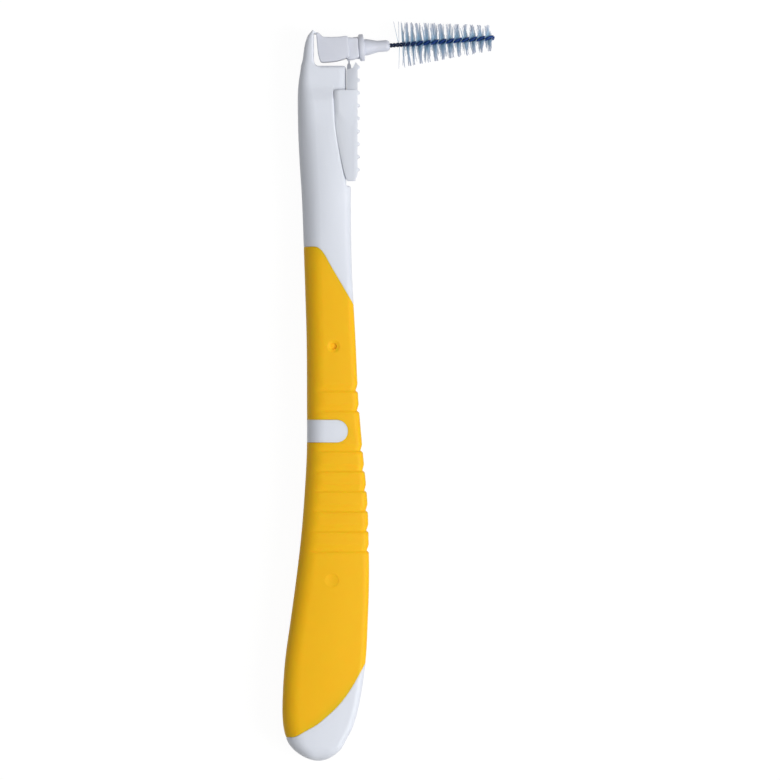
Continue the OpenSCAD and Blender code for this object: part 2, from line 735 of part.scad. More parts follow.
// Tube of radius r along a path, with n sides. Every ring keeps one side turned to the axis of the twist
function unit(v) = v / norm(v);
function ring_side(path, i) =
    i <= leg_rings ? [0, -path[i][2], path[i][1]]
    : i < len(path) - 1 - leg_rings ? [0, 0, 1]
    : [0, path[i][2], -path[i][1]];
module tube(path, r, n) {
    m = len(path);
    points = [
        for (i = [0:m - 1])
            let (t = unit(path[min(i + 1, m - 1)] - path[max(i - 1, 0)]))
            let (a = unit(cross(t, unit(ring_side(path, i)))), b = cross(a, t))
            each [for (k = [0:n - 1]) path[i] + r * (cos(360 * k / n) * a + sin(360 * k / n) * b)]
    ];
    faces = concat(
        [[for (k = [0:n - 1]) n - 1 - k]],
        [
            for (i = [0:m - 2], k = [0:n - 1])
                let (a = i * n + k, b = i * n + (k + 1) % n)
                each [[a, b, b + n], [a, b + n, a + n]]
        ],
        [[for (k = [0:n - 1]) (m - 1) * n + k]]
    );
    polyhedron(points, faces, convexity = 10);
}

module twisted_wire() {
    color("midnightblue")
        at_holder()
            translate([0, -axis_drop, 0])
                tube(wire_path, wire_r, 6);
}

// Filaments: a thin slice of what the wire nips, turning with the wire. At each filament the slice is
// square to the axis for the filament's thickness, and a strand leaves each of its two edges
slice_half = filament_t / 2;
slice_reach = wire_r;
filament_pitch = brush_l / filament_count;
function brush_r(x) = mix(base_d, tip_d, (x - brush_x) / brush_l) / 2;
function around(x, out, side, a) = [x, out * cos(a) - side * sin(a), out * sin(a) + side * cos(a)];
function section_points(x, a, r) = [
    around(x, slice_reach, -slice_half, a), around(x, slice_reach, slice_half, a),
    around(x, -slice_reach, slice_half, a), around(x, -slice_reach, -slice_half, a),
    around(x, r, -slice_half, a), around(x, r, slice_half, a),
    around(x, -r, slice_half, a), around(x, -r, -slice_half, a)
];
module filaments() {
    points = [
        for (i = [0:filament_count - 1])
            let (x = brush_x + (i + 0.5) * filament_pitch - filament_t / 2)
            let (a = 90 + 360 * (loop_x - x) / twist_l, r = brush_r(x))
            each concat(section_points(x, a, r), section_points(x + filament_t, a, r))
    ];
    last = (filament_count - 1) * 16;
    function box_faces(a, b, c, d, e, f, g, h) = [
        [a, b, f], [a, f, e], [b, c, g], [b, g, f], [c, d, h], [c, h, g], [d, a, e], [d, e, h]
    ];
    strands = [
        for (i = [0:filament_count - 1])
            let (k = i * 16)
            each concat(
                [[k + 1, k + 2, k + 10], [k + 1, k + 10, k + 9], [k + 3, k, k + 8], [k + 3, k + 8, k + 11]],
                [[k, k + 4, k + 12], [k, k + 12, k + 8], [k + 1, k + 9, k + 13], [k + 1, k + 13, k + 5]],
                [[k, k + 1, k + 5], [k, k + 5, k + 4], [k + 8, k + 12, k + 13], [k + 8, k + 13, k + 9]],
                [[k + 4, k + 5, k + 13], [k + 4, k + 13, k + 12]],
                [[k + 2, k + 6, k + 14], [k + 2, k + 14, k + 10]],
                [[k + 3, k + 11, k + 15], [k + 3, k + 15, k + 7]],
                [[k + 2, k + 3, k + 7], [k + 2, k + 7, k + 6]],
                [[k + 10, k + 14, k + 15], [k + 10, k + 15, k + 11]],
                [[k + 6, k + 7, k + 15], [k + 6, k + 15, k + 14]]
            )
    ];
    slices = [
        for (i = [0:filament_count - 2])
            let (k = i * 16 + 8)
            each box_faces(k, k + 1, k + 2, k + 3, k + 8, k + 9, k + 10, k + 11)
    ];
    ends = [[0, 3, 2], [0, 2, 1], [last + 8, last + 9, last + 10], [last + 8, last + 10, last + 11]];
    polyhedron(points, [for (f = concat(strands, slices, ends)) reversed(f)], convexity = 10);
}

module bristles() {
    color("lightsteelblue")
        at_holder()
            translate([0, -axis_drop, 0])
                filaments();
}

handle_core();
grip_overmould();
tip_film_hinge();
brush_holder();
strap_film_hinge();
link_strap();
foot_film_hinge();
thumb_slider();
twisted_wire();
bristles();
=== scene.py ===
"""Dresses the interdental brush: smooth mouldings, stepped grip, twisted wire and filament tufts.

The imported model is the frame. Every piece here is built in the frame's own place, in millimetres, and is
scaled to metres when it is finished. +Y runs up the handle, +X is the side that the brush points to, and the
sections of the handle lie either side of its middle plane.
"""

import json
import logging
import math
import random
from collections.abc import Callable, Iterable, Sequence
from dataclasses import dataclass, field
from enum import Enum

import bmesh
import bpy
from mathutils import Matrix, Vector

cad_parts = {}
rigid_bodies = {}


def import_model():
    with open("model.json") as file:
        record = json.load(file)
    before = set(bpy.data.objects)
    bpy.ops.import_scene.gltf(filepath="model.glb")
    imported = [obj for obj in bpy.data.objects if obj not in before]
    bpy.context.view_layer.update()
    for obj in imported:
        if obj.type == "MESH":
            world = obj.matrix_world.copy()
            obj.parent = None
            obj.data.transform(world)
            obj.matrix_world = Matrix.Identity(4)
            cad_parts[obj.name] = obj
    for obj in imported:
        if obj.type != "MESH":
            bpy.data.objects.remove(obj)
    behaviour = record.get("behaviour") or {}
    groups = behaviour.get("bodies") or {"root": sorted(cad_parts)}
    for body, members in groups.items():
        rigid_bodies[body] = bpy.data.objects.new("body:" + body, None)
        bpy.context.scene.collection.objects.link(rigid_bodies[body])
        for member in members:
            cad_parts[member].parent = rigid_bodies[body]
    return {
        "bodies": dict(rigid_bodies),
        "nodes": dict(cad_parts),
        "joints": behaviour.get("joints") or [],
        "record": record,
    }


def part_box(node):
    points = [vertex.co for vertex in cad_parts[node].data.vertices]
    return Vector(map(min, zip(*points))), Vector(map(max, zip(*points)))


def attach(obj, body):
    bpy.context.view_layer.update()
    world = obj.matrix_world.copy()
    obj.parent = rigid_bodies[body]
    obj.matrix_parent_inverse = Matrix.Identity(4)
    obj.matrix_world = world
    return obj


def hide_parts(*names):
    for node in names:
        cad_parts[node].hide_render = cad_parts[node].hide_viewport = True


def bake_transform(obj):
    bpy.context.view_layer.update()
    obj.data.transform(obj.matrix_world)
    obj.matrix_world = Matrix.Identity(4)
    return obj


LOG = logging.getLogger("brush")
MM = 0.001
WELD = 0.004
QUARTER = math.pi / 2
Point = tuple[float, float]
Colour = tuple[float, float, float]


class Body(Enum):
    """Bodies of the frame that pieces ride on."""

    HANDLE = "handle"
    HOLDER = "holder"
    STRAP = "strap"
    SLIDER = "slider"


class Slot(Enum):
    """Material slots of the record."""

    WHITE = "white_moulding"
    FILM = "film_hinge"
    GRIP = "grip_plastic"
    WIRE = "coated_wire"
    FILAMENT = "nylon_filament"


class Zone(Enum):
    """Stretches of a half section, from the back, over the flat side, to the middle of the front."""

    SPINE = "spine"
    BACK = "back"
    ARM = "arm"
    FLAT = "flat"
    LIP = "lip"
    FLOOR = "floor"
    FRONT = "front"
    FACE = "face"
    CHANNEL = "channel"
    BED = "bed"


Column = tuple[Zone, float]


def mix(a: float, b: float, share: float) -> float:
    """Value at a share of the way from a to b."""
    return a + (b - a) * share


def ease(share: float) -> float:
    """Smooth step from 0 to 1, level at both ends."""
    share = min(max(share, 0.0), 1.0)
    return share * share * (3 - 2 * share)


def ramp(count: int, start: float = 0.0, end: float = 1.0) -> list[float]:
    """Evenly spaced values, both ends included."""
    return [mix(start, end, i / (count - 1)) for i in range(count)]


def rectangle(left: float, low: float, right: float, high: float) -> list[Point]:
    """Corners of a rectangle, in order."""
    return [(left, low), (right, low), (right, high), (left, high)]


def round_edge(end: float, flat: float, radius: float, t: float, side: int = 1) -> Point:
    """Point of the rounded edge between an end face and a flat side.

    Args:
        end: X of the end face.
        flat: distance of the flat side from the middle plane.
        radius: radius of the edge.
        t: 0 on the end face, 1 on the flat side.
        side: 1 for a back edge, -1 for a front edge.

    Returns:
        X, and the distance from the middle plane.
    """
    return end + side * radius * (1 - math.cos(QUARTER * t)), flat - radius * (1 - math.sin(QUARTER * t))


def stretch(zone: Zone, *shares: float) -> list[Column]:
    """Places of a half section in one zone."""
    return [(zone, share) for share in shares]


@dataclass(frozen=True)
class Curve:
    """Smooth curve through rows of a place and one or more values."""

    rows: tuple[tuple[float, ...], ...]

    def at(self, place: float, column: int = 1) -> float:
        """Value of a column at a place.

        Args:
            place: where along the curve, held to its ends.
            column: which value of the rows.

        Returns:
            The value, on a curve with no corner at the rows.
        """
        rows = self.rows
        place = min(max(place, rows[0][0]), rows[-1][0])
        i = max(k for k in range(len(rows) - 1) if k == 0 or place >= rows[k][0])
        run = rows[i + 1][0] - rows[i][0]
        u = (place - rows[i][0]) / run
        v = 1 - u
        return (
            v * v * (1 + 2 * u) * rows[i][column]
            + u * u * (3 - 2 * u) * rows[i + 1][column]
            + u * v * v * run * self._slope(i, column)
            - u * u * v * run * self._slope(i + 1, column)
        )

    def _slope(self, i: int, column: int) -> float:
        """Slope of a column at row i, from its neighbours."""
        low, high = self.rows[max(i - 1, 0)], self.rows[min(i + 1, len(self.rows) - 1)]
        return (high[column] - low[column]) / (high[0] - low[0])


def settle(bm: bmesh.types.BMesh, name: str) -> bpy.types.Mesh:
    """Mesh data made from a mesh that is used up."""
    mesh = bpy.data.meshes.new(name)
    bm.to_mesh(mesh)
    bm.free()
    return mesh


def add_object(name: str, data: bpy.types.ID) -> bpy.types.Object:
    """New object in the scene."""
    item = bpy.data.objects.new(name, data)
    bpy.context.scene.collection.objects.link(item)
    return item


def move(bm: bmesh.types.BMesh, matrix: Matrix) -> bmesh.types.BMesh:
    """The same mesh, moved as a whole."""
    bmesh.ops.transform(bm, matrix=matrix, verts=bm.verts[:])
    return bm


def seal(bm: bmesh.types.BMesh) -> bmesh.types.BMesh:
    """The same mesh, welded, with its open ends filled and its faces outwards."""
    bmesh.ops.remove_doubles(bm, verts=bm.verts[:], dist=WELD)
    bmesh.ops.holes_fill(bm, edges=[e for e in bm.edges if e.is_boundary], sides=0)
    bmesh.ops.recalc_face_normals(bm, faces=bm.faces[:])
    return bm


def drape(rows: int, across: int, place: Callable[[int, int], Vector]) -> bmesh.types.BMesh:
    """Sheet of quads whose corners are put in place one by one.

    Args:
        rows: number of corners along the sheet.
        across: number of corners across it.
        place: gives a corner's place from its row and column.

    Returns:
        A new mesh, open on all sides.
    """
    bm = bmesh.new()
    bmesh.ops.create_grid(bm, x_segments=across - 1, y_segments=rows - 1, size=1)
    for vertex in bm.verts:
        column = round((vertex.co.x + 1) / 2 * (across - 1))
        row = round((vertex.co.y + 1) / 2 * (rows - 1))
        vertex.co = place(row, column)
    return bm


def prism(outline: Sequence[Point], low: float, high: float) -> bmesh.types.BMesh:
    """Solid plate from an outline.

    Args:
        outline: corners of the outline in X and Y, in order.
        low: Z of the lower face.
        high: Z of the upper face.

    Returns:
        A new closed mesh.
    """
    bm = bmesh.new()
    made = bmesh.ops.create_circle(bm, cap_ends=True, radius=1, segments=len(outline))
    for vertex, (x, y) in zip(made["verts"], outline):
        vertex.co = (x, y, low)
    raised = bmesh.ops.extrude_face_region(bm, geom=bm.faces[:])["geom"]
    corners = [item for item in raised if isinstance(item, bmesh.types.BMVert)]
    bmesh.ops.translate(bm, vec=(0, 0, high - low), verts=corners)
    bmesh.ops.recalc_face_normals(bm, faces=bm.faces[:])
    return bm


def lathe(profile: Sequence[Point], steps: int) -> bmesh.types.BMesh:
    """Solid of revolution about the X axis.

    Args:
        profile: places along X with their radius, from a point on the axis to a point on the axis.
        steps: number of faces round the axis.

    Returns:
        A new closed mesh.
    """
    bm = bmesh.new()
    corners = [bm.verts.new((x, radius, 0)) for x, radius in profile]
    edges = [bm.edges.new(pair) for pair in zip(corners, corners[1:])]
    bmesh.ops.spin(
        bm, geom=corners + edges, cent=(0, 0, 0), axis=(1, 0, 0), angle=2 * math.pi, steps=steps,
        use_merge=True,
    )
    bmesh.ops.remove_doubles(bm, verts=bm.verts[:], dist=WELD)
    bmesh.ops.recalc_face_normals(bm, faces=bm.faces[:])
    return bm


def soften(bm: bmesh.types.BMesh, width: float, segments: int = 3, angle: float = 35) -> None:
    """Rounds the edges of a mesh that are sharper than an angle.

    Args:
        bm: the mesh, changed in place.
        width: how far the rounding reaches from each edge.
        segments: number of faces across the rounding.
        angle: turn between two faces, in degrees, past which their edge is rounded.
    """
    sharp = [e for e in bm.edges if len(e.link_faces) == 2 and e.calc_face_angle(0) > math.radians(angle)]
    bmesh.ops.bevel(
        bm, geom=sharp, offset=width, offset_type="OFFSET", segments=segments, profile=0.5, affect="EDGES",
        clamp_overlap=True, material=-1,
    )


def gather(parts: Iterable[bmesh.types.BMesh]) -> bmesh.types.BMesh:
    """One mesh that holds several, each kept as its own shell."""
    whole = bmesh.new()
    for part in parts:
        shell = settle(part, "shell")
        whole.from_mesh(shell)
        bpy.data.meshes.remove(shell)
    return whole


def carve(bm: bmesh.types.BMesh, tools: Sequence[tuple[str, bmesh.types.BMesh]]) -> bmesh.types.BMesh:
    """Cuts, joins or keeps the overlap of closed meshes.

    Args:
        bm: the mesh to work on, which is used up.
        tools: pairs of an operation, DIFFERENCE, UNION or INTERSECT, and a closed mesh, which is used up.

    Returns:
        A new mesh after all operations, in order.
    """
    stock = add_object("stock", settle(bm, "stock"))
    cutters = []
    for operation, tool in tools:
        cutter = add_object("cutter", settle(tool, "cutter"))
        step = stock.modifiers.new("carve", "BOOLEAN")
        step.operation = operation
        step.solver = "EXACT"
        step.object = cutter
        cutters.append(cutter)
    depsgraph = bpy.context.evaluated_depsgraph_get()
    result = bmesh.new()
    result.from_mesh(stock.evaluated_get(depsgraph).to_mesh())
    for item in [stock, *cutters]:
        mesh = item.data
        bpy.data.objects.remove(item)
        bpy.data.meshes.remove(mesh)
    return result


@dataclass(frozen=True)
class Socket:
    """A shader value that takes part in sums and products."""

    sheet: "Sheet"
    link: bpy.types.NodeSocket

    def __add__(self, other: "Socket | float") -> "Socket":
        """Sum."""
        return self.sheet.maths("ADD", self, other)

    def __mul__(self, other: "Socket | float") -> "Socket":
        """Product."""
        return self.sheet.maths("MULTIPLY", self, other)


class Sheet:
    """Nodes of one material or world, added one call at a time."""

    def __init__(self, owner: bpy.types.Material | bpy.types.World) -> None:
        """Empties the owner's node tree.

        Args:
            owner: the material or world to fill.
        """
        owner.use_nodes = True
        self.tree = owner.node_tree
        self.tree.nodes.clear()

    def node(
        self, kind: str, settings: dict | None = None, sockets: dict | None = None, output: int | str = 0
    ) -> Socket:
        """Adds a node.

        Args:
            kind: the node's type.
            settings: values that are set before the sockets.
            sockets: number, colour or link of each input that is used.
            output: which output to hand back.

        Returns:
            The chosen output.
        """
        made = self.tree.nodes.new(kind)
        for key, value in (settings or {}).items():
            setattr(made, key, value)
        for key, value in (sockets or {}).items():
            if isinstance(value, Socket):
                self.tree.links.new(value.link, made.inputs[key])
            else:
                made.inputs[key].default_value = value
        return Socket(self, made.outputs[output] if len(made.outputs) else None)

    def maths(self, operation: str, a: "Socket | float", b: "Socket | float") -> Socket:
        """Math node on two values."""
        return self.node("ShaderNodeMath", {"operation": operation}, {0: a, 1: b})

    def blend(self, share: "Socket | float", a: "Socket | Colour", b: "Socket | Colour") -> Socket:
        """Colour at a share of the way from a to b."""
        ends = [value if isinstance(value, Socket) else (*value, 1) for value in (a, b)]
        return self.node(
            "ShaderNodeMix", {"data_type": "RGBA"}, {0: share, 6: ends[0], 7: ends[1]}, output=2
        )

    def place(self) -> Socket:
        """Object coordinates."""
        return self.node("ShaderNodeTexCoord", output="Object")

    def noise(self, size: float, detail: float = 2.0, stretch: Colour = (1, 1, 1)) -> Socket:
        """Noise whose spots are about a size in millimetres, drawn out along an axis by its stretch."""
        place = self.node("ShaderNodeMapping", sockets={"Vector": self.place(), "Scale": stretch})
        return self.node(
            "ShaderNodeTexNoise", sockets={"Vector": place, "Scale": 1 / (size * MM), "Detail": detail}
        )

    def share(self, value: Socket, low: float, high: float) -> Socket:
        """Share of the way from low to high, held to its ends."""
        limits = {"Value": value, "From Min": low, "From Max": high}
        return self.node("ShaderNodeMapRange", {"clamp": True}, limits)

    def bump(self, height: Socket, depth: float, normal: Socket | None = None) -> Socket:
        """Normal from a height, whose full range is a depth in millimetres, on top of another normal."""
        sockets = {"Height": height, "Distance": depth * MM}
        if normal is not None:
            sockets["Normal"] = normal
        return self.node("ShaderNodeBump", sockets=sockets)

    def surface(self, shader: Socket) -> None:
        """Ends a material with its surface shader."""
        self.node("ShaderNodeOutputMaterial", sockets={"Surface": shader})


@dataclass(frozen=True)
class Finish:
    """What a piece is dressed in."""

    name: str

    def material(self) -> bpy.types.Material:
        """Material that carries the finish's shader."""
        material = bpy.data.materials.new(self.name)
        sheet = Sheet(material)
        sheet.surface(self.shader(sheet))
        return material

    def shader(self, sheet: Sheet) -> Socket:
        """Shader of the finish, which each kind of finish builds on the sheet."""
        raise NotImplementedError


@dataclass(frozen=True)
class MouldedPlastic(Finish):
    """Moulded plastic with faint flow mottling and a fine moulded grain."""

    colour: Colour
    flow_colour: Colour
    roughness: float
    roughness_change: float = 0.06
    flow_size: float = 3.0
    flow_stretch: Colour = (1, 0.4, 1)
    grain_size: float = 0.16
    grain_depth: float = 0.003
    wave_depth: float = 0.01
    specular: float = 0.4
    scatter: float = 0.0
    scatter_size: float = 0.6
    scatter_reach: Colour = (1.0, 1.0, 1.0)

    def shader(self, sheet: Sheet) -> Socket:
        """Shader with its colour, roughness and normal from nodes."""
        flow = sheet.noise(self.flow_size, 3.0, self.flow_stretch)
        fine = sheet.noise(self.grain_size)
        wave = sheet.noise(self.flow_size / 2, 1.0)
        grain = sheet.bump(fine, self.grain_depth)
        return sheet.node("ShaderNodeBsdfPrincipled", sockets={
            "Base Color": sheet.blend(flow, self.colour, self.flow_colour),
            "Roughness": fine * self.roughness_change + self.roughness,
            "Specular IOR Level": self.specular,
            "Subsurface Weight": self.scatter,
            "Subsurface Scale": self.scatter_size * MM,
            "Subsurface Radius": self.scatter_reach,
            "Normal": sheet.bump(wave, self.wave_depth, grain),
        })


@dataclass(frozen=True)
class CoatedWire(Finish):
    """Steel wire in a thin dark coating that turns bluer along X, from start to end in millimetres."""

    dark: Colour
    blue: Colour
    start: float
    end: float
    scuff_size: float = 0.2
    scuff_depth: float = 0.004
    shade: float = 0.75
    shade_change: float = 0.5
    metallic: float = 0.1
    roughness: float = 0.3
    roughness_change: float = 0.2
    specular: float = 0.25

    def shader(self, sheet: Sheet) -> Socket:
        """Shader with its colour along X and faint scuffs."""
        along = sheet.node("ShaderNodeSeparateXYZ", sockets={0: sheet.place()}, output="X")
        share = sheet.share(along, self.start * MM, self.end * MM)
        scuff = sheet.noise(self.scuff_size)
        return sheet.node("ShaderNodeBsdfPrincipled", sockets={
            "Base Color": sheet.blend(share * (scuff * self.shade_change + self.shade), self.dark, self.blue),
            "Metallic": self.metallic,
            "Roughness": scuff * self.roughness_change + self.roughness,
            "Specular IOR Level": self.specular,
            "Normal": sheet.bump(scuff, self.scuff_depth),
        })


@dataclass(frozen=True)
class NylonFilament(Finish):
    """Pale nylon, with a painted blue cast of the wire near it and painted shade in the wire's nip."""

    # shaded: painted shade where the strands leave the wire's nip
    shaded: Colour
    # root: painted blue cast of the wire on the strands near it, fading to the nylon's own tip colour
    root: Colour
    tip: Colour
    # shares of reach over which the painted shade in the nip fades out
    nip: Point = (0.06, 0.2)
    change_size: float = 0.3
    shade: float = 0.7
    shade_change: float = 0.6
    roughness: float = 0.35
    roughness_change: float = 0.1
    specular: float = 0.4
    cover: float = 0.56
    cover_change: float = 0.2

    def shader(self, sheet: Sheet) -> Socket:
        """Shader with its colour from the strand's own reach attribute."""
        reach = sheet.node("ShaderNodeAttribute", {"attribute_name": "reach"}, output="Fac")
        change = sheet.noise(self.change_size)
        # painted shade in the nip, then the painted blue cast of the wire fading to the nylon's pale tip
        nip = sheet.share(reach, *self.nip)
        bare = sheet.blend(reach * (change * self.shade_change + self.shade), self.root, self.tip)
        return sheet.node("ShaderNodeBsdfPrincipled", sockets={
            "Base Color": sheet.blend(nip, self.shaded, bare),
            "Roughness": change * self.roughness_change + self.roughness,
            "Specular IOR Level": self.specular,
            "Alpha": change * self.cover_change + self.cover,
        })


@dataclass(frozen=True)
class Frame:
    """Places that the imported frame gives, in millimetres."""

    pivot: Vector
    strap_pin: Vector
    low: Vector
    high: Vector
    grip_low: Vector
    grip_high: Vector

    @classmethod
    def read(cls, frame: dict) -> "Frame":
        """Takes the places from the loaded frame.


        Returns:
            The places of the joints and of the boxes that the pieces are worked out from.
        """
        joints = {joint["name"]: joint for joint in frame["joints"]}
        core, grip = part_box("handle_core"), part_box("grip_overmould")
        return cls(
            pivot=Vector(joints["holder_tilt"]["pos_m"]) / MM,
            strap_pin=Vector(joints["strap_swing"]["pos_m"]) / MM,
            low=core[0] / MM,
            high=core[1] / MM,
            grip_low=grip[0] / MM,
            grip_high=grip[1] / MM,
        )


class Bench:
    """Finishes meshes into pieces of the scene."""

    def __init__(self, mid: float) -> None:
        """Keeps the height of the handle's middle plane.

        Args:
            mid: height of the plane, in millimetres. Meshes are built about Z = 0 and lifted to it.
        """
        self.mid = mid
        self.materials: dict[str, bpy.types.Material] = {}

    def finish(
        self, bm: bmesh.types.BMesh, name: str, slot: Slot, finish: Finish, replaces: Sequence[str],
        smooth: float = 32,
    ) -> bpy.types.Object:
        """Turns a mesh into a shaded piece in the frame's place.

        Args:
            bm: the mesh in millimetres, which is used up.
            name: the piece's name.
            slot: the record's material slot; not used.
            finish: what the piece is dressed in.
            replaces: nodes of the frame that the piece stands for.
            smooth: turn between faces, in degrees, past which their edge stays sharp.

        Returns:
            The new object.
        """
        bmesh.ops.translate(bm, vec=(0, 0, self.mid), verts=bm.verts[:])
        bmesh.ops.scale(bm, vec=(MM, MM, MM), verts=bm.verts[:])
        mesh = settle(bm, name)
        mesh.shade_smooth()
        mesh.set_sharp_from_angle(angle=math.radians(smooth))
        if finish.name not in self.materials:
            self.materials[finish.name] = finish.material()
        mesh.materials.append(self.materials[finish.name])
        piece = add_object(name, mesh)
        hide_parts(*replaces)
        LOG.info("%s: %d faces", name, len(mesh.polygons))
        return piece


class Edge(Enum):
    """Edges of the grip that rows of a skin may follow."""

    NONE = "none"
    HEAD = "head"
    FOOT = "foot"


@dataclass(frozen=True)
class Row:
    """One row of a skin: a level, how far it follows an edge of the grip, and how it is sunk."""

    level: float
    edge: Edge = Edge.NONE
    follow: float = 0.0
    shift: float = 0.0
    sink: float = 0.0
    inset: float = 0.0


@dataclass
class HandleForm:
    """Sizes and outline of the handle, in millimetres, as the frame has them."""

    tail_y: float
    tip_y: float
    grip_t: float
    grip_w: float = 10.3
    arm_l: float = 4.44
    neck_t: float = 5.6
    crown_t: float = 4.6
    arm_root_w: float = 1.59
    arm_tip_w: float = 0.2
    back_round: float = 1.5
    front_round: float = 0.6
    tail_round: float = 1.9
    tail_l: float = 2.95
    grip_l: float = 61.2
    head_fall: float = 7.1
    foot_rise: float = 9.2
    full_grip_share: float = 0.58
    full_neck_share: float = 0.76
    outline: Curve = Curve((
        (0, -0.267, -0.146), (0.003, -0.335, -0.085), (0.009, -0.437, -0.012), (0.017, -0.522, 0.06),
        (0.029, -0.591, 0.119), (0.052, -0.64, 0.215), (0.086, -0.648, 0.29), (0.144, -0.617, 0.36),
        (0.202, -0.55, 0.386), (0.259, -0.485, 0.401), (0.317, -0.427, 0.396), (0.375, -0.386, 0.379),
        (0.444, -0.354, 0.325), (0.519, -0.352, 0.271), (0.605, -0.356, 0.237), (0.663, -0.37, 0.21),
        (0.72, -0.386, 0.189), (0.807, -0.413, 0.18), (0.865, -0.443, 0.18), (0.908, -0.459, 0.18),
        (0.965, -0.461, 0.18), (1, -0.424, 0.18),
    ))
    head_curve: Curve = Curve((
        (0, 0), (0.26, 0), (0.36, 0.055), (0.46, 0.175), (0.55, 0.32), (0.65, 0.47), (0.84, 0.75), (1, 1),
    ))
    foot_curve: Curve = Curve((
        (0, 0), (0.13, 0.005), (0.2, 0.028), (0.28, 0.067), (0.48, 0.175), (0.6, 0.283), (0.7, 0.39),
        (0.78, 0.502), (0.84, 0.61), (0.89, 0.72), (0.935, 0.835), (1, 1),
    ))
    arm_back: Curve = Curve((
        (0, 0), (0.218, 0.174), (0.446, 0.264), (0.67, 0.41), (0.82, 0.58), (0.9, 0.74), (0.958, 0.92),
        (1, 1),
    ))
    arm_fillet: Curve = Curve(((0, 0.31), (0.025, 0.2), (0.06, 0.1), (0.11, 0.04), (0.18, 0)))
    bulge: Curve = Curve((
        (0, 0.03), (0.04, 0.035), (0.5, 0.035), (0.66, 0.035), (0.72, 0.09), (0.78, 0.14), (0.86, 0.14),
        (0.9, 0.1), (0.94, 0), (1, 0),
    ))
    tail_end_share: float = 0.009
    bulge_place: float = 0.58
    bulge_reach: float = 5.0
    front_bulge: float = 0.7
    front_bulge_start: float = 0.8
    front_bulge_run: float = 0.05
    front_share: float = 1.25
    back_share: float = 1.45
    back_fall: float = 6.0
    most_of_back: float = 0.4
    most_of_front: float = 0.3
    most_of_half: float = 0.8
    arm_round_share: float = 0.72
    trials: int = 8
    wing_top_y: float = 0.0
    wing_l: float = 1.0
    crown_start: float = 0.15
    crown_run: float = 0.22

    @property
    def neck_y(self) -> float:
        """Height of the neck's top face."""
        return self.tip_y - self.arm_l

    @property
    def length(self) -> float:
        """Length from the tail to the neck's top face."""
        return self.neck_y - self.tail_y

    @property
    def foot_y(self) -> float:
        """Height of the grip's lower edge at the back."""
        return self.tail_y + self.tail_l

    @property
    def head_y(self) -> float:
        """Height of the grip's upper edge at the back."""
        return self.foot_y + self.grip_l

    def share(self, y: float) -> float:
        """Height as a share of the handle's length."""
        return (y - self.tail_y) / self.length

    def back_x(self, y: float) -> float:
        """Back edge of the handle and its arm."""
        base = self.side_x(y, 1)
        if y <= self.neck_y:
            return base
        return base + (self.arm_root_w - self.arm_tip_w) * self.arm_back.at((y - self.neck_y) / self.arm_l)

    def front_x(self, y: float) -> float:
        """Front edge of the handle, without the slider's recess."""
        return self.side_x(y, 2)

    def side_x(self, y: float, column: int) -> float:
        """Edge of the handle's outline, which closes in an even round at the tail.

        Args:
            y: height.
            column: 1 for the back edge and 2 for the front edge.

        Returns:
            X of the edge.
        """
        share, end = max(self.share(y), 0.0), self.tail_end_share
        if share >= end:
            return self.outline.at(share, column) * self.grip_w
        middle = (self.outline.at(0, 1) + self.outline.at(0, 2)) / 2
        return mix(middle, self.outline.at(end, column), math.sqrt(share / end)) * self.grip_w

    @property
    def arm_face_x(self) -> float:
        """Front of the arm above its fillet."""
        return self.outline.at(1, 1) * self.grip_w + self.arm_root_w

    def arm_x(self, y: float) -> float:
        """Front of the arm."""
        return self.arm_face_x + self.arm_root_w * self.arm_fillet.at((y - self.neck_y) / self.arm_l)

    def half_t(self, y: float) -> float:
        """Half thickness, with the tail's rounding and the step down to the crown."""
        neck = ease((self.share(y) - self.full_grip_share) / (self.full_neck_share - self.full_grip_share))
        crown = ease(((y - self.wing_top_y) / self.wing_l + self.crown_start) / self.crown_run)
        full = mix(mix(self.grip_t, self.neck_t, neck), self.crown_t, crown) / 2
        reach = min((y - self.tail_y) / self.tail_round, 1)
        return full - self.tail_round * (1 - math.sqrt(max(0, 1 - (1 - reach) ** 2)))

    def crowned(self, x: float, y: float, z: float) -> float:
        """Distance from the middle plane, with the faint crown of the side faces.

        Args:
            x: place across the handle.
            y: height.
            z: distance from the middle plane on a flat side face.

        Returns:
            The distance, less towards the back and front edges.
        """
        back, front = self.back_x(y), self.front_x(y)
        away = min(abs(x - mix(back, front, self.bulge_place)) / self.bulge_reach, 1) ** 2
        loss = self.bulge.at(self.share(y)) * self.bulge_reach ** 2 / 2 * (away - away * away / 2)
        if x > mix(back, front, self.bulge_place):
            reached = ease((self.share(y) - self.front_bulge_start) / self.front_bulge_run)
            loss *= mix(1, self.front_bulge, reached)
        return z * (1 - loss / self.half_t(y))

    def arm_round(self, y: float) -> float:
        """Radius of the arm's back edges at a height."""
        return min(self.back_round, (self.arm_face_x - self.back_x(y)) * self.arm_round_share)

    def rounds(self, y: float, width: float, half: float) -> Point:
        """Radii of the back and front edges of a section.

        Args:
            y: height of the section.
            width: its width.
            half: its half thickness.

        Returns:
            The back's radius, which falls to the arm's towards the neck's top, and the front's.
        """
        fallen = ease((y - self.neck_y) / self.back_fall + 1)
        back = mix(self.back_round * self.back_share, self.arm_round(self.neck_y), fallen)
        front = self.front_round * self.front_share
        thick = half * self.most_of_half
        return min(back, width * self.most_of_back, thick), min(front, width * self.most_of_front, thick)

    def edge_y(self, edge: Edge, x_of: Callable[[float], float]) -> float:
        """Height at which a column of a skin meets an edge of the grip.

        Args:
            edge: which edge.
            x_of: the column's X at a height.

        Returns:
            The height, found by a few rounds of trial.
        """
        start, rise, curve = self.head_y, -self.head_fall, self.head_curve
        if edge is Edge.FOOT:
            start, rise, curve = self.foot_y, self.foot_rise, self.foot_curve
        y = start + rise / 2
        for _ in range(self.trials):
            back = self.back_x(y)
            y = start + rise * curve.at((x_of(y) - back) / (self.front_x(y) - back))
        return y


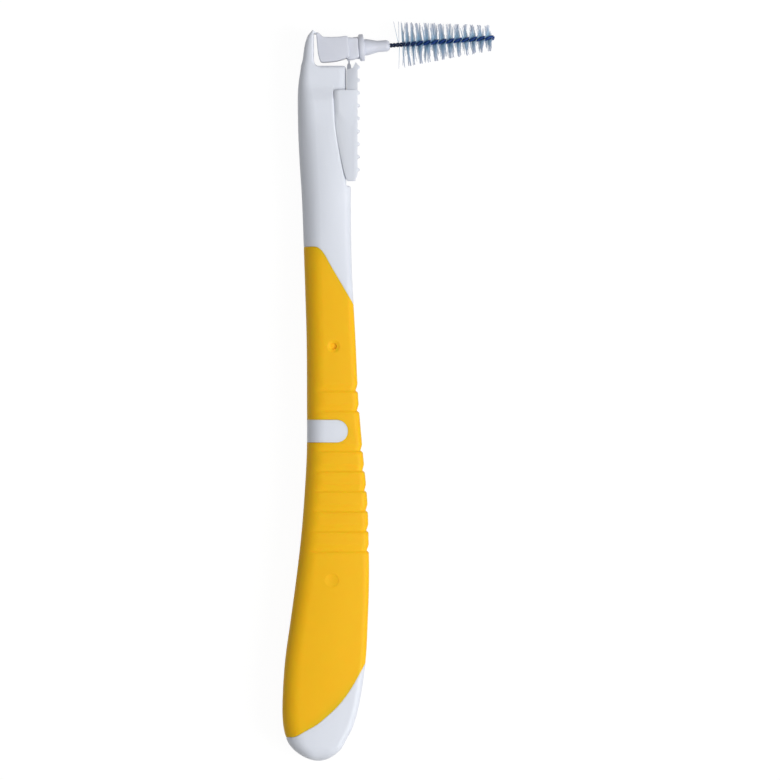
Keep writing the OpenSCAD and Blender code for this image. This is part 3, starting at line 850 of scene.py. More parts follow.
@dataclass
class Slide:
    """Places of the slider and of the recess that it runs in, in millimetres."""

    strap_pin: Vector
    strap_l: float = 4.0
    strap_w: float = 2.4
    strap_t: float = 0.5
    film_l: float = 0.4
    film_t: float = 0.2
    film_flare: float = 0.8
    pad_l: float = 14.75
    pad_t: float = 0.56
    pad_rise: float = 3.9
    ridge_count: int = 9
    ridge_pitch: float = 1.6
    ridge_h: float = 0.3
    wing_reach: float = 2.375
    wing_t: float = 0.5
    tongue_l: float = 6.5
    tongue_h: float = 0.85
    tongue_t: float = 1.6
    tongue_rise: float = 0.1
    slide_gap: float = 0.1
    foot_gaps: int = 8
    swing_gap: float = 0.25
    slot_gap: float = 0.3
    pocket_floor: float = 2.3
    shade_fall: float = 5.0
    shade_start: float = 2.1
    wing_back: Curve = Curve((
        (0, 0.96), (0.03, 1), (0.25, 0.96), (0.42, 0.9), (0.61, 0.76), (0.85, 0.53), (0.97, 0.38), (1, 0.3),
    ))

    @property
    def foot_y(self) -> float:
        """Height of the strap's lower axis."""
        return self.strap_pin.y - self.strap_l

    @property
    def recess_x(self) -> float:
        """Front face of the neck behind the slider."""
        return self.strap_pin.x - self.strap_t / 2 - self.slide_gap

    @property
    def pad_x(self) -> float:
        """Back face of the slider's pad."""
        return self.strap_pin.x + self.strap_t / 2 + self.swing_gap

    @property
    def pad_top_y(self) -> float:
        """Top of the pad."""
        return self.foot_y + self.pad_rise

    @property
    def pad_foot_y(self) -> float:
        """Foot of the pad."""
        return self.pad_top_y - self.pad_l

    @property
    def wing_top_y(self) -> float:
        """Top of the wings."""
        return self.foot_y + self.film_l

    @property
    def wing_l(self) -> float:
        """Length of the wings."""
        return self.wing_top_y - self.pad_foot_y

    @property
    def wing_in(self) -> float:
        """Inner face of a wing, from the middle plane."""
        return self.pocket_floor + self.slide_gap

    @property
    def wing_out(self) -> float:
        """Outer face of a wing, from the middle plane."""
        return self.wing_in + self.wing_t

    @property
    def bridge_top_y(self) -> float:
        """Top of the bridge between pad and neck."""
        return self.foot_y - self.film_l / 2

    @property
    def tongue_foot_y(self) -> float:
        """Foot of the tongue."""
        return self.pad_foot_y + self.wing_l * self.tongue_rise

    @property
    def recess_foot_y(self) -> float:
        """Foot of the recess in the neck's front."""
        return self.pad_foot_y - self.slide_gap * self.foot_gaps

    def shade(self, y: float) -> float:
        """How far the wide rounding of a wing's back has set in, from 0 low down to 1 at its top."""
        return ease((y - self.wing_top_y) / self.wing_l * self.shade_fall + self.shade_start)

    def wing_back_x(self, y: float) -> float:
        """Back edge of a wing."""
        return self.pad_x - self.wing_reach * self.wing_back.at((self.wing_top_y - y) / self.wing_l)


@dataclass
class Handle:
    """Grip, window band, tail, and the neck with its arm and the slider's pockets."""

    form: HandleForm
    slide: Slide
    bench: Bench
    white: MouldedPlastic
    yellow: MouldedPlastic
    joint_gap: float = 0.02
    joint_groove: float = 0.05
    joint_depths: tuple[float, ...] = (1, 0.4, 0.08, 0)
    edge_shift: float = 0.25
    neck_shift: float = 0.2
    near_edge: float = 0.97
    far_edge: float = 0.04
    grip_follows: int = 24
    tail_follows: int = 26
    neck_follows: int = 22
    first_step: float = 18.0
    step_pitch: float = 2.5
    step_count: int = 9
    window_place: int = 2
    step_side: float = 0.13
    step_start: float = 0.8
    step_fade: float = 1.5
    step_front: float = 0.26
    step_run: float = 0.85
    step_return: float = 0.26
    step_lead: float = 0.1
    step_bend: float = 1.1
    step_clear: float = 0.12
    step_rows: tuple[float, ...] = (
        0.85, 0.76, 0.64, 0.52, 0.4, 0.28, 0.17, 0.1, 0.04, -0.02, -0.08, -0.14, -0.2, -0.26,
    )
    head_run: float = 1.4
    foot_run: float = 1.3
    tail_run: float = 0.62
    window_h: float = 2.8
    window_reach: float = 5.1
    dish_d: float = 1.62
    dish_depth: float = 0.11
    dish_profile: tuple[Point, ...] = ((0, 1), (0.15, 0.94), (0.6, 0.8), (1, 0.62))
    gate_d: float = 0.78
    gate_drop: float = 0.69
    gate_share: float = 0.55
    gate_profile: tuple[Point, ...] = ((1.1, 1.04), (2.2, 0.96), (3.4, 0.8))
    mark_d: float = 1.7
    mark_drop: float = 1.45
    mark_share: float = 0.49
    mark_profile: tuple[Point, ...] = ((0, 1), (0.4, 0.96), (0.55, 0.88))
    lip: float = 0.3
    lip_low: float = 0.25
    pocket_close: float = 0.085
    pocket_top: float = 0.03
    recess_step: float = 0.22
    recess_rows: tuple[float, ...] = (0.05, 0.1, 0.16, 0.22)
    channel_step: float = 0.05
    facet_x: float = 0.42
    facet_slope: float = 0.14
    facet_start: float = 0.1
    facet_run: float = 0.25
    crown_round: float = 0.42
    floor_round: float = 0.18
    arm_corner: float = 0.3
    arm_corner_most: float = 0.2
    row_pitch: float = 0.4
    band_rows: int = 12
    tail_rows: int = 14
    bare_rows: int = 14
    open_rows: int = 44
    crown_rows: int = 7
    arm_root_rows: tuple[float, ...] = (0, 0.02, 0.04, 0.07, 0.1, 0.14, 0.19, 0.25)
    arm_rows: int = 20
    arm_run: Point = (0.31, 0.99)
    window_points: int = 33
    mark_faces: int = 48
    back_columns: list[Column] = field(default_factory=lambda: (
        stretch(Zone.SPINE, 0, 0.5) + stretch(Zone.BACK, *ramp(10))
    ))
    columns: list[Column] = field(default_factory=lambda: (
        stretch(Zone.FLAT, *ramp(26)[1:-1]) + stretch(Zone.FRONT, *ramp(7, 1, 0)) + stretch(Zone.FACE, 0.5, 0)
    ))
    neck_columns: list[Column] = field(default_factory=lambda: (
        stretch(Zone.ARM, 0.5, 0.9, 1) + stretch(Zone.FLAT, *ramp(14)[1:]) + stretch(Zone.LIP, *ramp(7)[1:])
        + stretch(Zone.FLOOR, *ramp(9)) + stretch(Zone.FRONT, *ramp(5, 1, 0)[1:])
        + stretch(Zone.FACE, 0.66, 0.33, 0) + stretch(Zone.CHANNEL, 1) + stretch(Zone.BED, 0.5, 0)
    ))
    arm_columns: list[Column] = field(default_factory=lambda: (
        stretch(Zone.ARM, 0.5, 0.9, 1) + stretch(Zone.FRONT, *ramp(5, 1, 0)[1:])
        + stretch(Zone.FACE, 0.66, 0.33, 0)
    ))

    def build(self) -> list[bpy.types.Object]:
        """Builds the handle's pieces.

        Returns:
            The pieces, all riding on the handle.
        """
        pieces = [
            self.bench.finish(self.grip(), "stepped_grip", Slot.GRIP, self.yellow, ["grip_overmould"]),
            self.bench.finish(self.band(), "window_band", Slot.WHITE, self.white, ["handle_core"]),
            self.bench.finish(self.tail(), "rounded_tail", Slot.WHITE, self.white, ["handle_core"]),
            self.bench.finish(self.neck(), "neck_and_arm", Slot.WHITE, self.white, ["handle_core"]),
        ]
        for piece in pieces:
            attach(piece, Body.HANDLE.value)
        return pieces

    def plain_point(self, column: Column, y: float, row: Row) -> Point:
        """Point of a plain half section.

        Args:
            column: the place round the section.
            y: height of the point.
            row: the row, for its sink and inset.

        Returns:
            X, and the distance from the middle plane.
        """
        zone, t = column
        back = self.form.back_x(y) + row.inset
        front = self.form.front_x(y) - row.inset - row.sink * self.step_front
        half = self.form.half_t(y) - row.inset
        back_r, front_r = self.form.rounds(y, front - back, half)
        if zone is Zone.SPINE:
            return back, (half - back_r) * t
        sunk = row.sink * self.step_side
        if zone is Zone.BACK:
            x, z = round_edge(back, half, back_r, t)
            return x, z - sunk * self.step_share(x - back)
        if zone is Zone.FLAT:
            x = mix(back + back_r, front - front_r, t)
            return x, half - sunk * self.step_share(x - back)
        half -= sunk
        if zone is Zone.FRONT:
            return round_edge(front, half, front_r, t, -1)
        return front, (half - front_r) * t

    def skin(
        self, columns: Sequence[Column], rows: Sequence[Row], point: Callable[[Column, float, Row], Point]
    ) -> bmesh.types.BMesh:
        """Half skin over rows of sections.

        Args:
            columns: places round the half section, past its back edge.
            rows: rows along the handle.
            point: gives a point from its column, height and row.

        Returns:
            A new open mesh on the upper side of the middle plane.
        """
        around = self.back_columns + list(columns)
        flat = Row(0)
        met = {
            (edge, i): self.form.edge_y(edge, lambda y, c=column: point(c, y, flat)[0])
            for edge in {row.edge for row in rows} - {Edge.NONE}
            for i, column in enumerate(around)
        }

        def place(r: int, c: int) -> Vector:
            row = rows[r]
            y = mix(row.level, met.get((row.edge, c), 0.0), row.follow) + row.shift
            x, z = point(around[c], y, row)
            return Vector((x, y, self.form.crowned(x, y, z)))

        return drape(len(rows), len(around), place)

    @staticmethod
    def close(bm: bmesh.types.BMesh) -> bmesh.types.BMesh:
        """Mirrors a half skin in the middle plane and seals it."""
        everything = bm.verts[:] + bm.edges[:] + bm.faces[:]
        bmesh.ops.mirror(bm, geom=everything, matrix=Matrix.Identity(4), merge_dist=WELD, axis="Z")
        return seal(bm)

    def joint_rows(self, edge: Edge, side: float) -> list[Row]:
        """Rows that roll into the groove at an edge of the grip, from the edge away to one side."""
        reach = side * self.joint_gap / 2
        return [
            Row(0, edge, 1.0, reach * n * n, inset=self.joint_groove * depth)
            for n, depth in enumerate(self.joint_depths, 1)
        ]

    @staticmethod
    def follow_rows(level: float, edge: Edge, shift: float, follows: Iterable[float]) -> list[Row]:
        """Rows between a level and an edge of the grip, shifted the more the closer they follow the edge."""
        return [Row(level, edge, follow, shift * follow) for follow in follows]

    def step_share(self, away: float) -> float:
        """How far a step has set in at a distance from the back edge."""
        return ease((away - self.step_start) / self.step_fade)

    def step_y(self, i: int) -> float:
        """Height of a step's line."""
        return self.form.head_y - self.first_step - i * self.step_pitch

    @property
    def step_lines(self) -> list[float]:
        """Heights of the step lines, with none at the window."""
        return [self.step_y(i) for i in range(self.step_count) if i != self.window_place]

    def sink_at(self, y: float) -> float:
        """How deep the scallop above the nearest step line is at a height, as a share."""
        lead, run, back = self.step_lead, self.step_run, self.step_return
        for line in self.step_lines:
            above = y - line
            if lead <= above < run:
                return ((run - above) / (run - lead)) ** self.step_bend
            if -back < above < lead:
                return ease((above + back) / (lead + back))
        return 0.0

    def grip_rows(self) -> list[Row]:
        """Rows of the grip, from its upper edge to its lower edge."""
        form = self.form
        head_level = form.head_y - form.head_fall * self.head_run
        foot_level = form.foot_y + form.foot_rise * self.foot_run
        near = [line + away for line in self.step_lines for away in self.step_rows]
        even = ramp(round((head_level - foot_level) / self.row_pitch), head_level, foot_level)
        even = [y for y in even if min(abs(y - other) for other in near) > self.step_clear]
        follows = ramp(self.grip_follows, self.near_edge, self.far_edge)
        return (
            self.joint_rows(Edge.HEAD, -1)
            + self.follow_rows(head_level, Edge.HEAD, -self.edge_shift, follows)
            + [Row(y, sink=self.sink_at(y)) for y in sorted(near + even, reverse=True)]
            + self.follow_rows(foot_level, Edge.FOOT, self.edge_shift, follows[::-1])
            + self.joint_rows(Edge.FOOT, 1)[::-1]
        )

    def window(self, grow: float) -> bmesh.types.BMesh:
        """Tool for the window: open at the back edge, round at its front end, grown all round."""
        y = self.step_y(self.window_place)
        back = self.form.back_x(y)
        radius = self.window_h / 2
        centre = back + self.window_reach - radius
        arc = [-QUARTER + math.pi * t for t in ramp(self.window_points)]
        outline = [(centre + (radius + grow) * math.cos(a), y + (radius + grow) * math.sin(a)) for a in arc]
        reach = back - self.form.back_round
        outline += [(reach, y + radius + grow), (reach, y - radius - grow)]
        return prism(outline, -self.form.grip_t, self.form.grip_t)

    def mark_place(self, y: float, share: float) -> Vector:
        """Place of a mark on the grip's upper side, at a share of the width."""
        return Vector((mix(self.form.back_x(y), self.form.front_x(y), share), y, self.form.half_t(y)))

    def dish(self, place: Vector, profile: Sequence[Point]) -> bmesh.types.BMesh:
        """Round tool that sinks a shallow mark.

        Args:
            place: middle of the mark on the surface.
            profile: pairs of depth below the surface and radius.

        Returns:
            A new closed mesh that stands out of the surface.
        """
        over = 0.5
        rows = [(-depth, radius) for depth, radius in profile]
        tool = lathe([(over, 0), (over, rows[0][1]), *rows, (rows[-1][0], 0)], self.mark_faces)
        return move(tool, Matrix.Translation(place) @ Matrix.Rotation(-QUARTER, 4, "Y"))

    def sunk(self, diameter: float, profile: Sequence[Point]) -> list[Point]:
        """Depths and radii of a mark, from its profile in shares of the dish's depth and its own radius."""
        return [(self.dish_depth * depth, diameter / 2 * radius) for depth, radius in profile]

    def grip(self) -> bmesh.types.BMesh:
        """Grip with its steps, window, gate dish and round mark."""
        form = self.form
        skin = self.close(self.skin(self.columns, self.grip_rows(), self.plain_point))
        gate = self.mark_place(form.head_y - self.first_step * self.gate_drop, self.gate_share)
        low_y = self.step_y(self.step_count - 1) - self.step_pitch * self.mark_drop
        mark = self.mark_place(low_y, self.mark_share)
        rim = self.sunk(self.dish_d, self.dish_profile) + self.sunk(self.gate_d, self.gate_profile)
        return carve(skin, [
            ("DIFFERENCE", self.window(self.joint_gap)),
            ("DIFFERENCE", self.dish(gate, rim)),
            ("DIFFERENCE", self.dish(mark, self.sunk(self.mark_d, self.mark_profile))),
        ])

    def band(self) -> bmesh.types.BMesh:
        """White band that fills the window, flush with the grip."""
        y = self.step_y(self.window_place)
        rows = [Row(level) for level in ramp(self.band_rows, y + self.window_h, y - self.window_h)]
        skin = self.close(self.skin(self.columns, rows, self.plain_point))
        return carve(skin, [("INTERSECT", self.window(0))])

    def tail(self) -> bmesh.types.BMesh:
        """Tail below the grip, rounded every way."""
        form = self.form
        level = form.tail_y + form.tail_l * self.tail_run
        ends = [
            level + (form.tail_y - level) * math.sin(QUARTER * t) for t in ramp(self.tail_rows)[1:]
        ]
        follows = ramp(self.tail_follows, self.near_edge, 0)
        rows = (
            self.joint_rows(Edge.FOOT, -1)
            + self.follow_rows(level, Edge.FOOT, -self.edge_shift, follows)
            + [Row(y) for y in ends]
        )
        return self.close(self.skin(self.columns, rows, self.plain_point))

    def crown_loss(self, y: float) -> float:
        """Rounding of the neck's top edge, as a distance taken off its sides."""
        rise = max(0.0, (y - self.form.neck_y) / self.crown_round + 1)
        return self.crown_round * (1 - math.sqrt(max(0.0, 1 - rise * rise)))

    def neck_front(self, y: float) -> float:
        """Front of the neck, with the step into the slider's recess."""
        open_share = ease((y - self.slide.recess_foot_y) / self.recess_step)
        return mix(self.form.front_x(y), min(self.slide.recess_x, self.form.front_x(y)), open_share)

    def neck_point(self, column: Column, y: float, row: Row) -> Point:
        """Point of the neck's half section, with a wing's pocket and the tongue's channel.

        Args:
            column: the place round the section.
            y: height of the point.
            row: the row, for its inset.

        Returns:
            X, and the distance from the middle plane.
        """
        zone, t = column
        form, slide = self.form, self.slide
        back, front = form.back_x(y) + row.inset, self.neck_front(y) - row.inset
        half, crown = form.half_t(y) - row.inset, self.crown_loss(y)
        back_r, front_r = form.rounds(y, form.front_x(y) - back, half)
        pocket_y = min(y, slide.wing_top_y - slide.wing_l * self.pocket_top)
        bare_edge = slide.wing_back_x(pocket_y) - slide.slide_gap
        recessed = ease((y - slide.recess_foot_y) / self.recess_step)
        edge = mix(front, min(bare_edge + self.pocket_close, front), recessed)
        room = front - edge
        pocketed = ease(room / self.lip)
        deep = max(half - slide.pocket_floor, 0.0)
        soft = mix(self.lip_low, self.lip, slide.shade(y))
        lip = mix(mix(front_r, self.lip, recessed), min(soft, deep), pocketed)
        floor = half - max(lip, mix(lip, deep, pocketed))
        arm_w = form.arm_x(form.neck_y) - form.back_x(form.neck_y)
        arm_edge = back + max(arm_w - self.arm_corner, back_r + self.lip / 2)
        if zone is Zone.SPINE:
            return back, (half - back_r) * t
        if zone is Zone.BACK:
            return round_edge(back, half, back_r, t)
        if zone is Zone.ARM:
            return mix(back + back_r, arm_edge, t), half
        if zone is Zone.FLAT:
            return mix(arm_edge, edge - lip, t), half - crown * min(1, t * 3)
        if zone is Zone.LIP:
            return edge - lip * (1 - math.sin(QUARTER * t)), half - crown - lip * (1 - math.cos(QUARTER * t))
        corner = min(self.floor_round, room / 2)
        if zone is Zone.FLOOR:
            x = mix(edge, front - corner - min(crown, room / 2), t)
            return x, floor - crown - self.facet_loss(x, y)
        face = front - min(crown, room / 2)
        floor -= self.facet_loss(face, y)
        if zone is Zone.FRONT:
            return round_edge(face, floor - crown, corner, t, -1)
        channel = slide.tongue_t / 2 + slide.slide_gap
        if zone is Zone.FACE:
            return face, mix(channel, floor - crown - corner, t)
        begun = ease((y - slide.tongue_foot_y + slide.slide_gap) / self.channel_step)
        return face - (slide.tongue_h + slide.slide_gap) * begun, channel * t

    def facet_loss(self, x: float, y: float) -> float:
        """Slope of the crown's front part above the wing."""
        begun = ease((y - self.slide.wing_top_y - self.facet_start) / self.facet_run)
        return max(0.0, x - self.facet_x) * self.facet_slope * begun

    def arm_point(self, column: Column, y: float, row: Row) -> Point:
        """Point of the arm's half section.

        Args:
            column: the place round the section.
            y: height of the point.
            row: the row, which takes no part.

        Returns:
            X, and the distance from the middle plane.
        """
        zone, t = column
        back, front = self.form.back_x(y), self.form.arm_x(y)
        half, width = self.form.half_t(y), front - back
        back_r = self.form.arm_round(y)
        corner = min(self.arm_corner, width * self.arm_corner_most)
        if zone is Zone.SPINE:
            return back, (half - back_r) * t
        if zone is Zone.BACK:
            return round_edge(back, half, back_r, t)
        if zone is Zone.ARM:
            return mix(back + back_r, front - corner, t), half
        if zone is Zone.FRONT:
            return round_edge(front, half, corner, t, -1)
        return front, (half - corner) * t

    def neck(self) -> bmesh.types.BMesh:
        """Neck and arm as one closed skin."""
        form, slide = self.form, self.slide
        bare = form.head_y + form.head_fall / 4
        foot = slide.recess_foot_y
        top = form.neck_y - self.crown_round
        channel = slide.tongue_foot_y - slide.slide_gap
        levels = ramp(self.bare_rows, bare, foot)[1:] + [foot + rise for rise in self.recess_rows]
        levels += ramp(self.open_rows, foot + self.row_pitch, top)
        levels += ramp(3, channel, channel + self.channel_step)
        levels += [top + self.crown_round * math.sin(QUARTER * t) for t in ramp(self.crown_rows)[1:]]
        follows = ramp(self.neck_follows, self.near_edge, 0)
        rows = (
            self.joint_rows(Edge.HEAD, 1)
            + self.follow_rows(bare, Edge.HEAD, self.neck_shift, follows)
            + [Row(y) for y in sorted(levels)]
        )
        body = self.skin(self.neck_columns, rows, self.neck_point)
        shares = [*self.arm_root_rows, *ramp(self.arm_rows, *self.arm_run), 1]
        arm_rows = [Row(form.neck_y + form.arm_l * share) for share in shares]
        arm = self.skin(self.arm_columns, arm_rows, self.arm_point)
        return self.close(gather([body, arm]))


@dataclass
class Slider:
    """Thumb slider with its ridged pad, wings, bridge and tongue."""

    slide: Slide
    bench: Bench
    white: MouldedPlastic
    edge_round: float = 0.07
    top_drop: float = 1.2
    top_reach: float = 0.6
    first_ridge: float = 0.36
    first_rise: float = 1.4
    ridge_foot: float = 0.8
    ridge_nose: float = 0.15
    foot_rise: float = 0.1
    slope_run: Point = (2.2, 0.7)
    slope_rise: Point = (0.24, 0.3)
    wing_rows: int = 40
    cheek_x: float = 1.34
    cheek_drop: float = 0.95
    cheek_front_drop: float = 0.9
    cheek_back_drop: float = 1.25
    cheek_in: float = 2.0
    cheek_half: float = 2.46
    cheek_slope: float = 0.27
    cheek_inset: float = 0.02
    cut_reach: float = 1.5
    flat_turn: float = 0.01
    bridge_share: float = 0.6
    bridge_rise: float = 0.06
    over: float = 1.0

    def build(self) -> list[bpy.types.Object]:
        """Builds the slider and the film hinge on it."""
        pieces = [
            self.bench.finish(self.body(), "ridged_slider", Slot.WHITE, self.white, ["thumb_slider"]),
            self.bench.finish(self.foot_film(), "foot_film", Slot.FILM, self.white, ["foot_film_hinge"]),
        ]
        for piece in pieces:
            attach(piece, Body.SLIDER.value)
        return pieces

    def pad_outline(self) -> list[Point]:
        """Side outline of the pad, with its pointed ridges down the front."""
        s = self.slide
        front = s.pad_x + s.pad_t
        first = s.pad_top_y - s.ridge_pitch * self.first_ridge
        foot, nose = s.ridge_h * self.ridge_foot, s.ridge_h * self.ridge_nose
        outline = [
            (s.pad_x, s.pad_foot_y + s.pad_t * self.foot_rise),
            (s.pad_x, s.pad_top_y - s.pad_t * self.top_drop),
            (s.pad_x + s.pad_t * self.top_reach, s.pad_top_y),
            (front, first + foot * self.first_rise),
        ]
        for i in range(s.ridge_count):
            y = first - i * s.ridge_pitch
            outline += [
                (front, y + foot), (front + s.ridge_h, y + nose),
                (front + s.ridge_h, y - nose), (front, y - foot),
            ]
        turns = [QUARTER * t for t in ramp(7)[:-1]]
        outline += [
            (s.pad_x + s.pad_t * math.cos(a), s.pad_foot_y + s.pad_t * 2 * (1 - math.sin(a))) for a in turns
        ]
        return outline

    @property
    def cut_ends(self) -> Point:
        """Back and front ends of the tools that cut the slider's top."""
        s = self.slide
        return self.cheek_x - self.over, s.pad_x + s.pad_t + s.ridge_h + self.over

    def body(self) -> bmesh.types.BMesh:
        """Slider as one solid with rounded edges."""
        s = self.slide
        inner = s.pad_x + s.pad_t / 2
        bridge_x = s.recess_x + s.slide_gap
        bridge_foot = s.pad_foot_y + s.wing_l * self.bridge_rise
        bridge = rectangle(bridge_x, bridge_foot, inner, s.bridge_top_y)
        bridge_half = mix(s.wing_in, s.wing_out, self.bridge_share)
        tongue = rectangle(
            bridge_x - s.tongue_h, s.tongue_foot_y, bridge_x + s.pad_t / 2, s.tongue_foot_y + s.tongue_l
        )
        cheek_foot, cheek_out = s.wing_top_y - s.wing_t, s.wing_out - self.cheek_inset
        cheek = [
            (self.cheek_x, cheek_foot), (inner, cheek_foot),
            (inner, s.pad_top_y - s.pad_t * self.cheek_front_drop),
            (s.pad_x, s.pad_top_y - s.pad_t * self.cheek_back_drop),
            (self.cheek_x, s.pad_top_y - self.cheek_drop),
        ]
        slot_x, slot_out = self.cut_ends
        slot = rectangle(slot_x, s.bridge_top_y, slot_out, s.pad_top_y + self.over)
        slot_half = s.strap_w / 2 + s.slot_gap
        whole = carve(prism(self.pad_outline(), -s.wing_out, s.wing_out), [
            ("UNION", self.wing_plate(1)),
            ("UNION", self.wing_plate(-1)),
            ("UNION", prism(bridge, -bridge_half, bridge_half)),
            ("UNION", prism(tongue, -s.tongue_t / 2, s.tongue_t / 2)),
            ("UNION", prism(cheek, self.cheek_in, cheek_out)),
            ("UNION", prism(cheek, -cheek_out, -self.cheek_in)),
            ("DIFFERENCE", prism(slot, -slot_half, slot_half)),
            ("DIFFERENCE", self.cheek_cut(1)),
            ("DIFFERENCE", self.cheek_cut(-1)),
        ])
        bmesh.ops.remove_doubles(whole, verts=whole.verts[:], dist=WELD)
        bmesh.ops.dissolve_limit(
            whole, angle_limit=self.flat_turn, verts=whole.verts[:], edges=whole.edges[:]
        )
        soften(whole, self.edge_round, angle=40)
        return whole

    def cheek_cut(self, side: int) -> bmesh.types.BMesh:
        """Tool that slopes one side of the slider's top down towards the neck.

        Args:
            side: 1 or -1 for the side of the middle plane.

        Returns:
            A new closed mesh.
        """
        s = self.slide
        ends = self.cut_ends
        outline = [(x, side * (self.cheek_half + (x - self.cheek_x) * self.cheek_slope)) for x in ends]
        outline += [(x, side * s.wing_out * self.cut_reach) for x in ends[::-1]]
        return move(prism(outline, -s.pad_top_y - self.over, -s.wing_top_y), Matrix.Rotation(QUARTER, 4, "X"))

    def wing_plate(self, side: int) -> bmesh.types.BMesh:
        """One wing, whose back slopes steeply near its top and less further down.

        Args:
            side: 1 or -1 for the side of the middle plane.

        Returns:
            A new closed mesh.
        """
        s = self.slide
        inner = s.pad_x + s.pad_t / 2
        turns = ramp(6)

        def place(row: int, column: int) -> Vector:
            y = s.wing_top_y - s.wing_l * row / self.wing_rows
            back, shade = s.wing_back_x(y), s.shade(y)
            full = mix(*self.slope_run, shade)
            run = min(full, inner - back - self.edge_round)
            rise = mix(*self.slope_rise, shade) * run / full
            ring = [(back, s.wing_in)] + [(back + run * t, s.wing_out - rise * (1 - t) ** 2) for t in turns]
            ring += [(inner, s.wing_out), (inner, s.wing_in), ring[0]]
            x, z = ring[column]
            return Vector((x, y, z * side))

        return seal(drape(self.wing_rows + 1, len(turns) + 4, place))

    def foot_film(self) -> bmesh.types.BMesh:
        """Film hinge under the strap's foot."""
        s = self.slide
        x, y = s.strap_pin.x, s.foot_y
        outline = [
            (x + side * mix(s.film_t * s.film_flare, s.film_t / 2, ease(t)), y - s.film_l / 2 + s.film_l * t)
            for side, shares in ((1, ramp(5)), (-1, ramp(5, 1, 0))) for t in shares
        ]
        return prism(outline, -s.strap_w / 2, s.strap_w / 2)


@dataclass
class Strap:
    """Link strap between two film hinges."""

    slide: Slide
    bench: Bench
    white: MouldedPlastic
    taper: tuple[Point, ...] = ((0.05, 0.42), (0.12, 0.5))
    edge_round: float = 0.06

    def build(self) -> list[bpy.types.Object]:
        """Builds the strap."""
        piece = self.bench.finish(self.plate(), "strap_plate", Slot.WHITE, self.white, ["link_strap"])
        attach(piece, Body.STRAP.value)
        return [piece]

    def plate(self) -> bmesh.types.BMesh:
        """Strap with tapered ends and rounded edges."""
        s = self.slide
        low, high = s.foot_y + s.film_l / 2, s.strap_pin.y - s.film_l / 2
        rows = [(0, s.film_t / 2), *((place, s.strap_t * share) for place, share in self.taper)]
        rows += [(1 - place, half) for place, half in rows[::-1]]
        outline = [(s.strap_pin.x + half, mix(low, high, place)) for place, half in rows]
        outline += [(s.strap_pin.x - half, mix(low, high, place)) for place, half in rows[::-1]]
        plate = prism(outline, -s.strap_w / 2, s.strap_w / 2)
        soften(plate, self.edge_round, segments=2, angle=50)
        return plate


